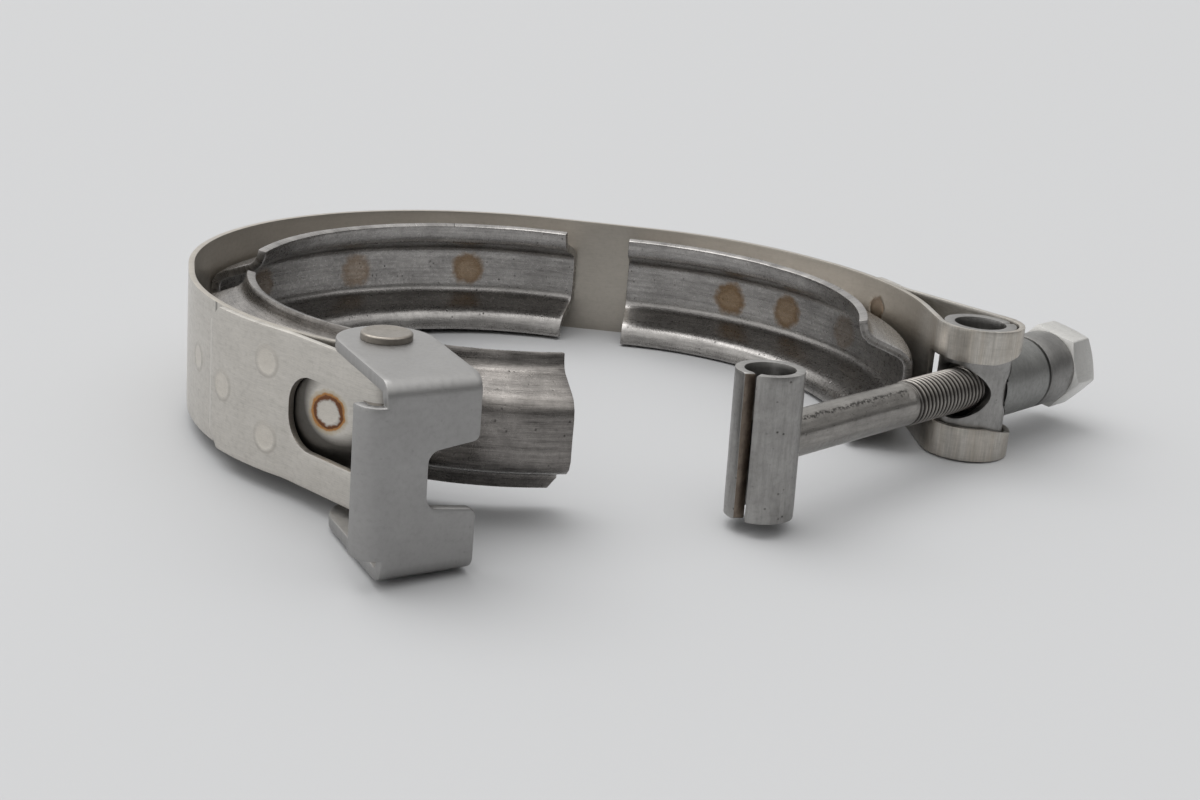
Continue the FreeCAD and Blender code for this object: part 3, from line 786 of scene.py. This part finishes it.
def make_collar():
    face = SPACER_END + COLLAR_GAP
    bore = THREAD_RADIUS + BORE_PLAY
    soft = 0.22
    profile = [(SPACER_END + 0.01, bore), (SPACER_END + 0.01, COLLAR_SPIGOT), (face, COLLAR_SPIGOT + 0.05),
               (face, SPACER_RADIUS - soft), (face + soft * 0.3, SPACER_RADIUS - soft * 0.3),
               (face + soft, SPACER_RADIUS), (face + 2.5, SPACER_RADIUS), (face + 5, SPACER_RADIUS),
               (COLLAR_END - soft, SPACER_RADIUS), (COLLAR_END - soft * 0.3, SPACER_RADIUS - soft * 0.3),
               (COLLAR_END, SPACER_RADIUS - soft), (COLLAR_END, bore)]
    obj = lathed("thrust_collar_dressed", lambda turn: profile, 120, 0.3)
    return placed(apply_modifiers(obj, 30.0), BOLT_FRAME)


def make_nut():
    start = COLLAR_END + NUT_GAP
    end = start + NUT_HEIGHT
    flat = NUT_ACROSS_FLATS / 2
    corner = flat / math.cos(math.radians(30))
    slope = math.tan(math.radians(30))
    small = corner - NUT_CHAMFER / slope
    bore = THREAD_RADIUS + NUT_FIT

    def column(turn):
        within = ((math.degrees(turn) - NUT_TURN) % 60) - 30
        reach = min(flat / math.cos(math.radians(within)), corner - 0.07)
        drop = max((reach - small) * slope, 0.03)
        rise = [(0, bore + 0.35), (0, (bore + small) / 2), (0, small - 0.12), (0.02, small),
                (drop, reach - 0.02), (drop + 0.08, reach), (NUT_HEIGHT * 0.4, reach)]
        points = [(start + x, radius) for x, radius in rise] + [(end - x, radius) for x, radius in rise[::-1]]
        return points + [(end - 0.35, bore + 0.01), (start + 0.35, bore + 0.01)]

    return placed(apply_modifiers(lathed("nut_dressed", column, 360), 24.0), BOLT_FRAME)


def make_bolt():
    """Shank and a right-hand thread of the real lead."""
    count = 48
    step = THREAD_LEAD / 12
    root = THREAD_RADIUS - THREAD_DEPTH
    head = -T_HEAD_DISTANCE - (T_HEAD_RADIUS - T_HEAD_WALL) * 0.4
    plain = [head, head + 4, -40.0, -36.0, -32.0, -28.0, -24.0, -20.0, -THREAD_START - 2.2]
    lead_in = -THREAD_START - THREAD_LEAD_IN
    threaded = [lead_in + step * k for k in range(int((BOLT_END - 0.02 - lead_in) / step))] + [BOLT_END]
    verts, faces, marks = [], [], []

    def thread_radius(x, turn):
        phase = (x / THREAD_LEAD - turn / (2 * math.pi)) % 1.0
        flank = abs(2 * phase - 1)
        form = min(1.0, max(0.0, (flank - 0.12) / 0.72))
        level = root + THREAD_DEPTH * form
        fade = min(1.0, max(0.0, (x + THREAD_START + THREAD_FADE) / THREAD_FADE))
        level = SHANK_RADIUS * (1 - fade) + level * fade
        limit = THREAD_RADIUS - max(0.0, x - BOLT_END + BOLT_CHAMFER)
        return min(level, limit, THREAD_RADIUS)

    stations = plain + threaded
    for x in stations:
        for k in range(count):
            turn = 2 * math.pi * k / count
            if x < lead_in:
                flats = [SHANK_FLAT_SHARE * SHANK_RADIUS / max(0.1, math.cos(turn - math.radians(side)))
                         for side in SHANK_FLATS]
                ripple = noise.noise(Vector((x * 0.5, math.cos(turn), math.sin(turn))))
                radius = min([SHANK_RADIUS] + flats) + 0.02 * ripple - 0.015
            else:
                radius = thread_radius(x, turn)
            verts.append((x, radius * math.cos(turn), radius * math.sin(turn)))
            marks.append((x, radius * turn))
    rows = len(stations)
    for row in range(rows - 1):
        for k in range(count):
            nxt = (k + 1) % count
            faces.append((row * count + k, row * count + nxt, (row + 1) * count + nxt, (row + 1) * count + k))
    faces.append(tuple(range(count)))
    last = (rows - 1) * count
    faces.append(tuple(last + k for k in range(count))[::-1])
    obj = weld_poles(new_object("bolt_shank_dressed", verts, faces, marks))
    apply_modifiers(obj, 60.0)
    depth_mark = obj.data.attributes.new("groove", "FLOAT", "POINT")
    for index, vertex in enumerate(obj.data.vertices):
        x, y, z = (c / MM for c in vertex.co)
        level = math.hypot(y, z)
        on_thread = -THREAD_START - 1.2 < x < BOLT_END - BOLT_CHAMFER
        depth_mark.data[index].value = (THREAD_RADIUS - level) / THREAD_DEPTH if on_thread else 0.0
    return placed(obj, BOLT_FRAME)


# ---- materials ----

class Nodes:
    """Short hand for building a node tree."""

    def __init__(self, owner, output):
        owner.use_nodes = True
        self.owner = owner
        self.tree = owner.node_tree
        self.shader = self.tree.nodes[output]

    def add(self, kind, **values):
        node = self.tree.nodes.new("ShaderNode" + kind)
        for key, value in values.items():
            setattr(node, key, value)
        return node

    def link(self, source, target):
        self.tree.links.new(source, target)

    def mapped(self, vector, scale):
        """A vector stretched by a scale."""
        mapping = self.add("Mapping")
        mapping.inputs["Scale"].default_value = scale
        self.link(vector, mapping.inputs["Vector"])
        return mapping.outputs["Vector"]

    def coords(self, scale, space="UV"):
        """Coordinates on the sheet or in the object, stretched by a scale."""
        return self.mapped(self.add("TexCoord").outputs[space], scale)

    def separate(self, vector):
        """The first two parts of a vector."""
        parts = self.add("SeparateXYZ")
        self.link(vector, parts.inputs["Vector"])
        return parts.outputs["X"], parts.outputs["Y"]

    def noise(self, vector, scale, detail=4.0, roughness=0.55):
        node = self.add("TexNoise")
        node.inputs["Scale"].default_value = scale
        node.inputs["Detail"].default_value = detail
        node.inputs["Roughness"].default_value = roughness
        self.link(vector, node.inputs["Vector"])
        return node.outputs["Fac"]

    def range(self, value, low, high, to_low=0.0, to_high=1.0, shape="LINEAR"):
        node = self.add("MapRange", interpolation_type=shape)
        for key, number in (("From Min", low), ("From Max", high), ("To Min", to_low), ("To Max", to_high)):
            node.inputs[key].default_value = number
        self.link(value, node.inputs["Value"])
        return node.outputs["Result"]

    def math(self, operation, *values):
        node = self.add("Math", operation=operation)
        for index, value in enumerate(values):
            if isinstance(value, (int, float)):
                node.inputs[index].default_value = value
            else:
                self.link(value, node.inputs[index])
        return node.outputs["Value"]

    def band(self, value, middle, low, high, share=1.0):
        """Full within a low distance of a middle, nothing beyond a high one."""
        off = self.math("ABSOLUTE", self.math("SUBTRACT", value, middle))
        return self.range(off, low, high, share, 0.0)

    def span(self, value, start, end, fade):
        """Full between two places, fading to nothing at both."""
        rise = self.range(value, start, start + fade)
        return self.math("MULTIPLY", rise, self.range(value, end - fade, end, 1.0, 0.0))

    def mix(self, factor, first, second):
        node = self.add("Mix", data_type="RGBA")
        for index, value in ((0, factor), (6, first), (7, second)):
            if isinstance(value, (int, float)):
                node.inputs[index].default_value = value
            elif isinstance(value, tuple):
                node.inputs[index].default_value = (*value, 1.0)
            else:
                self.link(value, node.inputs[index])
        return node.outputs[2]

    def tinted(self, colour, tint, share, *shares):
        """A colour mixed towards a tint by the product of the shares."""
        for other in shares:
            share = self.math("MULTIPLY", share, other)
        return self.mix(share, colour, tint)

    def against(self, vector, operation, fixed):
        """Distance or dot product between a vector and a fixed one."""
        node = self.add("VectorMath", operation=operation)
        self.link(vector, node.inputs[0])
        node.inputs[1].default_value = fixed
        return node.outputs["Value"]

    def distance(self, vector, along, height):
        return self.against(vector, "DISTANCE", (along, height, 0.0))

    def bump(self, height, strength, distance, before=None):
        node = self.add("Bump")
        node.inputs["Strength"].default_value = strength
        node.inputs["Distance"].default_value = distance
        self.link(height, node.inputs["Height"])
        if before is not None:
            self.link(before, node.inputs["Normal"])
        return node.outputs["Normal"]


EVEN = (1.0, 1.0, 1.0)


def scaled(colour, share):
    return tuple(min(1.0, part * share) for part in colour)


def steel(name, light, dark, rough, brush, blotch, pits, streaks, seed, marks=(),
          grain=EVEN, space="UV", patch=0.28, metal=1.0):
    """Worn bare steel: brushing along the sheet, blotches, fine pits and optional marks."""
    n = Nodes(bpy.data.materials.new(name), "Principled BSDF")
    unit = 1.0 if space == "UV" else 1000.0
    flat = n.coords((unit, unit, unit), space)
    fine = n.coords((unit * grain[0], unit * grain[1], unit * grain[2]), space)
    brushed = n.noise(fine, 9.0, 3.0, 0.6)
    long_streak = n.noise(fine, 1.6, 4.0, 0.6)
    cloud = n.noise(flat, 0.16 + 0.01 * seed, 5.0, 0.6)
    mottle = n.noise(flat, 1.3 + 0.02 * seed, 6.0, 0.65)
    colour = n.mix(n.range(cloud, 0.3, 0.7, 0.0, blotch), light, dark)
    colour = n.mix(n.range(long_streak, 0.42, 0.72, 0.0, streaks), colour, scaled(dark, 0.62))
    colour = n.mix(n.range(brushed, 0.3, 0.7, 0.0, brush * 0.5), colour, scaled(light, 1.35))
    colour = n.mix(n.range(mottle, 0.5, 0.75, 0.0, patch), colour, scaled(dark, 0.72))
    roughness = n.math("ADD", n.range(mottle, 0.3, 0.7, rough - 0.06, rough + 0.1),
                       n.range(brushed, 0.3, 0.7, -0.04, 0.05))
    normal = n.bump(brushed, 0.35 * brush + 0.04, 0.00004)
    normal = n.bump(mottle, 0.25, 0.00006, normal)
    if pits:
        speck = n.add("TexVoronoi", feature="F1")
        speck.inputs["Scale"].default_value = 1.05
        speck.inputs["Randomness"].default_value = 1.0
        n.link(flat, speck.inputs["Vector"])
        rare = n.noise(flat, 0.55, 3.0, 0.5)
        spot = n.math("MULTIPLY", n.range(speck.outputs["Distance"], 0.05, 0.2, 1.0, 0.0),
                      n.range(rare, 0.5, 0.62))
        colour = n.tinted(colour, (0.035, 0.033, 0.03), spot, min(0.85, pits))
        normal = n.bump(n.math("MULTIPLY", spot, -1.0), 0.6 * pits, 0.00012, normal)
    for paint, *values in marks:
        colour = paint(n, flat, colour, *values)
    n.link(colour, n.shader.inputs["Base Color"])
    n.link(roughness, n.shader.inputs["Roughness"])
    n.link(normal, n.shader.inputs["Normal"])
    n.shader.inputs["Metallic"].default_value = metal
    return n.owner


def heat_ring(n, vector, colour, along, height, radius):
    """Straw, orange and dark brown bands of heat tint around a spot weld."""
    wobble = n.range(n.noise(vector, 0.75, 3.0, 0.6), 0.2, 0.8, -0.3, 0.3)
    away = n.math("ADD", n.distance(vector, along, height), wobble)
    for middle, width, share, tint in (
            (radius + 0.62, 0.55, 0.5, (0.42, 0.33, 0.19)),
            (radius + 0.34, 0.34, 0.9, (0.42, 0.19, 0.05)),
            (radius, 0.3, 0.95, (0.15, 0.055, 0.02))):
        colour = n.tinted(colour, tint, n.band(away, middle, width * 0.35, width), share)
    return colour


def heat_patch(n, vector, colour, along, height, radius, strength, tint=(0.24, 0.15, 0.07)):
    """Brown round patch where a weld has burnt the other face of the sheet."""
    wobble = n.range(n.noise(vector, 0.6, 4.0, 0.6), 0.2, 0.8, -0.7, 0.7)
    away = n.math("ADD", n.distance(vector, along, height), wobble)
    colour = n.tinted(colour, tint, n.range(away, radius * 0.75, radius * 1.2, 1.0, 0.0), strength)
    rim = n.band(away, radius * 0.82, 0.0, radius * 0.3)
    return n.tinted(colour, (0.13, 0.075, 0.035), rim, strength * 0.6)


def weld_button(n, vector, colour, along, height, radius, strength):
    """Faint pale disc with a soft darker rim, the face of a spot weld."""
    away = n.distance(vector, along, height)
    disc = n.range(away, radius - 0.35, radius, 1.0, 0.0)
    speckle = n.range(n.noise(vector, 5.0, 2.0, 0.7), 0.35, 0.65, 0.35, 1.0)
    colour = n.tinted(colour, (0.76, 0.7, 0.61), disc, speckle, strength)
    return n.tinted(colour, (0.3, 0.27, 0.235), n.band(away, radius + 0.05, 0.0, 0.36), strength * 0.75)


def weld_shade_and_lit_halo(n, vector, colour, along, height):
    """Painted shade on one side of a weld seen through the window, and a painted pale lit area around the
    weld.
    """
    away = n.distance(vector, along, height)
    lean = n.against(vector, "DOT_PRODUCT", (0.36, -0.27, 0.0))
    side = n.math("SUBTRACT", lean, 0.36 * along - 0.27 * height)
    # painted shade on the left and lower side of the weld
    shade = n.range(n.math("ADD", away, side), 3.0, 4.9, 0.0, 0.9)
    near = n.range(away, 7.0, 8.5, 1.0, 0.0)
    # painted highlight: paler lit area just outside the heat tint
    halo = n.range(away, 2.6, 3.6, 0.45, 0.0)
    colour = n.tinted(colour, (0.72, 0.69, 0.64), halo, n.range(away, 2.2, 2.6))
    return n.tinted(colour, (0.05, 0.045, 0.04), shade, near)


def darker_inside_face(n, vector, colour, start, end):
    """Darker, browner tone on the face of the band that lies inside the ring."""
    return n.tinted(colour, (0.36, 0.32, 0.265), n.span(n.separate(vector)[0], start, end, 4.0), 0.5)


def cross_brushed_with_sheen(n, vector, colour, start, end):
    """Fine brushing across the sheet where it was worked round a loop, with painted beige highlights of sheen
    along its wide streaks.
    """
    stretched = n.mapped(vector, (1.0, 0.05, 1.0))
    fine = n.noise(stretched, 3.4, 4.0, 0.65)
    wide = n.noise(stretched, 0.55, 3.0, 0.55)
    here = n.span(n.separate(vector)[0], start - 1.0, end + 1.0, 2.0)
    # painted highlight: beige sheen along the wide streaks; the darker fine streaks below are the brushing
    # grain
    colour = n.tinted(colour, (0.5, 0.445, 0.375), n.range(wide, 0.4, 0.64, 0.0, 0.6), here)
    return n.tinted(colour, (0.2, 0.185, 0.165), n.range(fine, 0.35, 0.75, 0.0, 0.5), here)


def ring_shade(n, vector, colour, place):
    """Painted shade in the groove between two turned pieces."""
    return n.mix(n.band(n.separate(vector)[0], place, 0.3, 0.6, 0.92), colour, (0.02, 0.019, 0.018))


def end_line(n, vector, colour, along, tint, share):
    """Thin line of painted shade, or of painted highlight along the burr, at a free end."""
    return n.mix(n.band(n.separate(vector)[0], along, 0.12, 0.42, share), colour, tint)


def thread_shade_and_crest_highlight(n, vector, colour):
    """Painted shade in the roots of the thread, and painted highlights on its crests."""
    depth = n.add("Attribute", attribute_name="groove").outputs["Fac"]
    # painted shade in the roots of the thread
    colour = n.tinted(colour, (0.022, 0.019, 0.017), n.range(depth, 0.08, 0.42), 0.93)
    # painted highlight on the crests of the thread
    crest = n.range(depth, 0.005, 0.16, 1.0, 0.0)
    return n.tinted(colour, (0.4, 0.355, 0.31), crest, n.range(depth, 0.0, 0.002), 0.35)


def nick_line(n, vector, colour, start, end, seam, width, strength):
    """Jagged dark seam line along a shank, in its (length, arc) coordinates."""
    along, around = n.separate(vector)
    wander = n.range(n.noise(vector, 0.9, 5.0, 0.75), 0.25, 0.75, -width, width)
    off = n.math("ABSOLUTE", n.math("ADD", n.math("SUBTRACT", around, seam), wander))
    broken = n.range(n.noise(vector, 2.2, 3.0, 0.7), 0.42, 0.52)
    run = n.span(along, start, end, 0.8)
    return n.tinted(colour, (0.02, 0.018, 0.016), n.range(off, 0.1, 0.46, 1.0, 0.0), broken, run, strength)


# ---- the pieces, their bodies and their finishes ----

strap, strap_line = make_strap()
STRAP_LIGHT = (0.565, 0.54, 0.50)
STRAP_DARK = (0.43, 0.41, 0.375)
# painted shade on the layer below, just beyond the free end
SHADE_LINE = ((0.12, 0.115, 0.105), 0.75)
# painted highlight where the burr on the free end catches light
BURR_HIGHLIGHT = ((0.8, 0.77, 0.72), 0.5)

welds = strap_welds(strap_line)
stained = min((weld for weld in welds if weld[2] == "seat"), key=lambda weld: weld[0])[:2]
trunnion_loop = strap_line.starts[14]
under_arc = strap_line.pieces[6]
under_end = strap_line.starts[6] + under_arc[2] * math.radians((under_arc[3] - FREE_END_LEFT) % 360)
right_marks = [(darker_inside_face, strap_line.starts[6], strap_line.starts[13])]
right_marks += [(weld_button, along, height, 1.9, 0.4) for along, height, kind in welds if kind == "lap"]
right_marks += [(heat_patch, along, height, 1.9, 0.6, (0.17, 0.1, 0.045))
                for along, height, kind in welds if kind == "under"]
right_marks += [(cross_brushed_with_sheen, trunnion_loop - 3.0, trunnion_loop + 23.0), (end_line, 0.1, *BURR_HIGHLIGHT)]
left_marks = [(weld_button, along, height, 1.75, 0.35) for along, height, kind in welds if kind == "seat"]
# painted shade and painted lit area beside the stained weld, then its heat tint and a painted shade line
left_marks += [(weld_shade_and_lit_halo, *stained), (heat_ring, *stained, 1.9), (end_line, under_end + 0.3, *SHADE_LINE)]
strap_faces = [
    steel(f"strap_{side}_face", STRAP_LIGHT, STRAP_DARK, 0.36, 0.9, 0.6, 0.0, 0.2, seed, marks,
          (0.06, 1.0, 1.0))
    for side, marks, seed in (("right", right_marks, 1.0), ("left", left_marks, 2.0))]


def segment_steel(place, seed, start_angle=0.0, patches=(),
                  light=(0.43, 0.415, 0.40), dark=(0.2, 0.19, 0.185)):
    """Darker streaked steel, browned at the welds; each patch is (angle, strength)."""
    middle = segment_profile().length / 2
    marks = [(heat_patch, RING_RADIUS * math.radians(angle - start_angle), middle, 2.7, strength)
             for angle, strength in patches]
    return steel(f"segment_{place}_steel", light, dark, 0.27, 0.8, 0.85, 0.75, 0.75, seed, marks,
                 (0.05, 1.0, 1.0))



for piece, node, body, *materials in (
        (strap, "strap", "band", *strap_faces),
        (make_segment("segment_front_left_dressed", FRONT_LEFT_CENTRE, FRONT_LEFT_START, 1.0, 1.2, -0.22),
         "segment_front_left", "band",
         segment_steel("front_left", 3.0, light=(0.32, 0.3, 0.283), dark=(0.05, 0.046, 0.043))),
        (make_segment("segment_back_left_dressed", ORIGIN, BACK_LEFT_START, 2.0), "segment_back_left", "band",
         segment_steel("back_left", 4.0, BACK_LEFT_START, ((101.4, 0.75), (128.0, 0.5), (155.0, 0.4)))),
        (make_segment("segment_back_right_dressed", BACK_RIGHT_CENTRE, BACK_RIGHT_START, 3.0),
         "segment_back_right", "band",
         segment_steel("back_right", 5.0, BACK_RIGHT_START, ((62.7, 0.8), (48.0, 0.75), (30.0, 0.3)))),
        (make_latch(), "latch", "latch_body", steel(
            "latch_steel", (0.35, 0.345, 0.34), (0.29, 0.285, 0.28), 0.42, 0.1, 0.5, 0.12, 0.06, 6.0,
            patch=0.1)),
        (make_latch_pin(), "latch_pin", "latch_body", steel(
            "latch_pin_steel", (0.33, 0.3, 0.265), (0.2, 0.185, 0.165), 0.33, 0.3, 0.7, 0.3, 0.3, 7.0,
            space="Object")),
        (make_trunnion(), "trunnion", "trunnion_body", steel(
            "trunnion_steel", (0.37, 0.362, 0.352), (0.22, 0.215, 0.205), 0.36, 0.4, 0.8, 0.4, 0.4, 8.0,
            grain=(1.0, 0.2, 1.0))),
        (make_sleeve(), "spacer_sleeve", "trunnion_body", steel(
            "spacer_sleeve_steel", (0.31, 0.31, 0.3), (0.2, 0.2, 0.195), 0.42, 0.3, 0.7, 0.3, 0.3, 9.0,
            [(ring_shade, SPACER_END)], (1.0, 0.3, 1.0))),
        (make_collar(), "thrust_collar", "trunnion_body", steel(
            "thrust_collar_steel", (0.29, 0.285, 0.275), (0.19, 0.185, 0.18), 0.4, 0.3, 0.7, 0.2, 0.3, 10.0,
            [(ring_shade, SPACER_END + COLLAR_GAP / 2)], (1.0, 0.3, 1.0))),
        (make_nut(), "nut", "nut_body", steel(
            "nut_steel", (0.68, 0.672, 0.65), (0.54, 0.535, 0.515), 0.33, 0.3, 0.5, 0.15, 0.2, 11.0,
            patch=0.2, metal=0.7)),
        (make_bolt(), "bolt_shank", "bolt_body", steel(
            "bolt_shank_steel", (0.34, 0.325, 0.305), (0.19, 0.18, 0.17), 0.32, 0.5, 0.8, 0.6, 0.5, 12.0,
            [(thread_shade_and_crest_highlight,), (nick_line, -42.5, -18.5, SHANK_RADIUS * math.radians(118), 0.55, 0.9)],
            (0.15, 1.0, 1.0))),
        (make_t_head(), "t_head", "bolt_body", steel(
            "t_head_steel", (0.37, 0.362, 0.35), (0.22, 0.213, 0.205), 0.36, 0.4, 0.7, 0.8, 0.45, 13.0,
            grain=(1.0, 0.12, 1.0)), steel(
            "t_head_cut", (0.27, 0.225, 0.185), (0.12, 0.095, 0.075), 0.5, 0.3, 0.8, 0.6, 0.6, 14.0,
            grain=(1.0, 1.0, 0.3), space="Object"))):
    while len(piece.data.materials) > len(materials):
        piece.data.materials.pop()
    while len(piece.data.materials) < len(materials):
        piece.data.materials.append(None)
    for index, material in enumerate(materials):
        piece.data.materials[index] = material
    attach(piece, body)
    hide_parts(node)
    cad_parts[node].data.materials.clear()
    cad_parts[node].data.materials.append(materials[0])

# ---- floor, light and camera ----

FLOOR_REACH = 6000
BACK_FOOT = (-20.0, 40.0)
EYE_FOOT = (TRUNNION_PLACE[0] + 6.25, TRUNNION_PLACE[1] + 1.0)
SKY_DIRECTION = (-0.62, 0.22, 0.75)
CAMERA_PLACE = (15.80, -253.86, 68.24)
CAMERA_LENS = 53.55
CAMERA_PITCH = 16.84
CAMERA_ROLL = -4.8


def resting_plane():
    """Plane under the latch pin's foot and the strap's lower edge at the back and right."""
    pin_foot = Vector((*LATCH_PIN_PLACE, -LATCH_HEIGHT / 2 - PIN_PEEN))
    back_foot = Vector((*BACK_FOOT, -STRAP_WIDTH / 2))
    eye_foot = Vector((*EYE_FOOT, -STRAP_WIDTH / 2))
    normal = (eye_foot - pin_foot).cross(back_foot - pin_foot).normalized()
    if normal.z < 0:
        normal.negate()
    turn = Vector((0, 0, 1)).rotation_difference(normal).to_matrix().to_4x4()
    return Matrix.Translation(pin_foot * MM) @ turn


def make_floor():
    """Pale floor, tilted a little so that the clamp rests on its three lowest places."""
    corners = [(FLOOR_REACH * x, FLOOR_REACH * y, 0) for x, y in ((-1, -1), (1, -1), (1, 1), (-1, 1))]
    obj = new_object("floor", corners, [(0, 1, 2, 3)])
    n = Nodes(bpy.data.materials.new("floor_paper"), "Principled BSDF")
    grain = n.noise(n.coords(EVEN, "Object"), 900.0, 2.0, 0.5)
    n.link(n.mix(n.range(grain, 0.3, 0.7, 0.0, 0.04), (0.522, 0.526, 0.534), (0.496, 0.5, 0.508)),
           n.shader.inputs["Base Color"])
    n.shader.inputs["Roughness"].default_value = 0.9
    n.shader.inputs["Specular IOR Level"].default_value = 0.2
    obj.data.materials.append(n.owner)
    placed(obj, resting_plane())


def sun(name, direction, strength, width):
    light = bpy.data.lights.new(name, "SUN")
    light.energy = strength
    light.angle = math.radians(width)
    linked(name, light).rotation_euler = Vector(direction).to_track_quat("Z", "Y").to_euler()


def make_world():
    """Soft studio surround: bright above and to the left, dark in front and to the right."""
    world = bpy.data.worlds.new("studio")
    bpy.context.scene.world = world
    n = Nodes(world, "Background")
    facing = n.against(n.add("TexCoord").outputs["Generated"], "DOT_PRODUCT", SKY_DIRECTION)
    n.link(n.range(facing, -0.45, 0.85, 0.16, 0.98, "SMOOTHSTEP"), n.shader.inputs["Strength"])
    n.shader.inputs["Color"].default_value = (1.0, 0.998, 0.99, 1.0)


make_floor()
make_world()
sun("key", (-0.45, 0.25, 1.0), 1.25, 50)
sun("fill", (0.5, -0.2, 1.0), 0.5, 70)

camera_data = bpy.data.cameras.new("camera")
camera = linked("camera", camera_data)
camera_data.lens = CAMERA_LENS
camera_data.sensor_width = 36.0
camera_data.clip_start = 0.01
camera_data.clip_end = 50.0
pitch = math.radians(CAMERA_PITCH)
roll = math.radians(CAMERA_ROLL)
forward = Vector((0, math.cos(pitch), -math.sin(pitch)))
down = Vector((0, -math.sin(pitch), -math.cos(pitch)))
right = Vector((1, 0, 0))
across = math.cos(roll) * right + math.sin(roll) * down
downward = -math.sin(roll) * right + math.cos(roll) * down
camera.matrix_world = Matrix.Translation(Vector(CAMERA_PLACE) * MM) @ Matrix(
    (across, -downward, -forward)).transposed().to_4x4()
bpy.context.scene.camera = camera

scene = bpy.context.scene
scene.view_settings.view_transform = "Standard"
scene.render.film_transparent = False
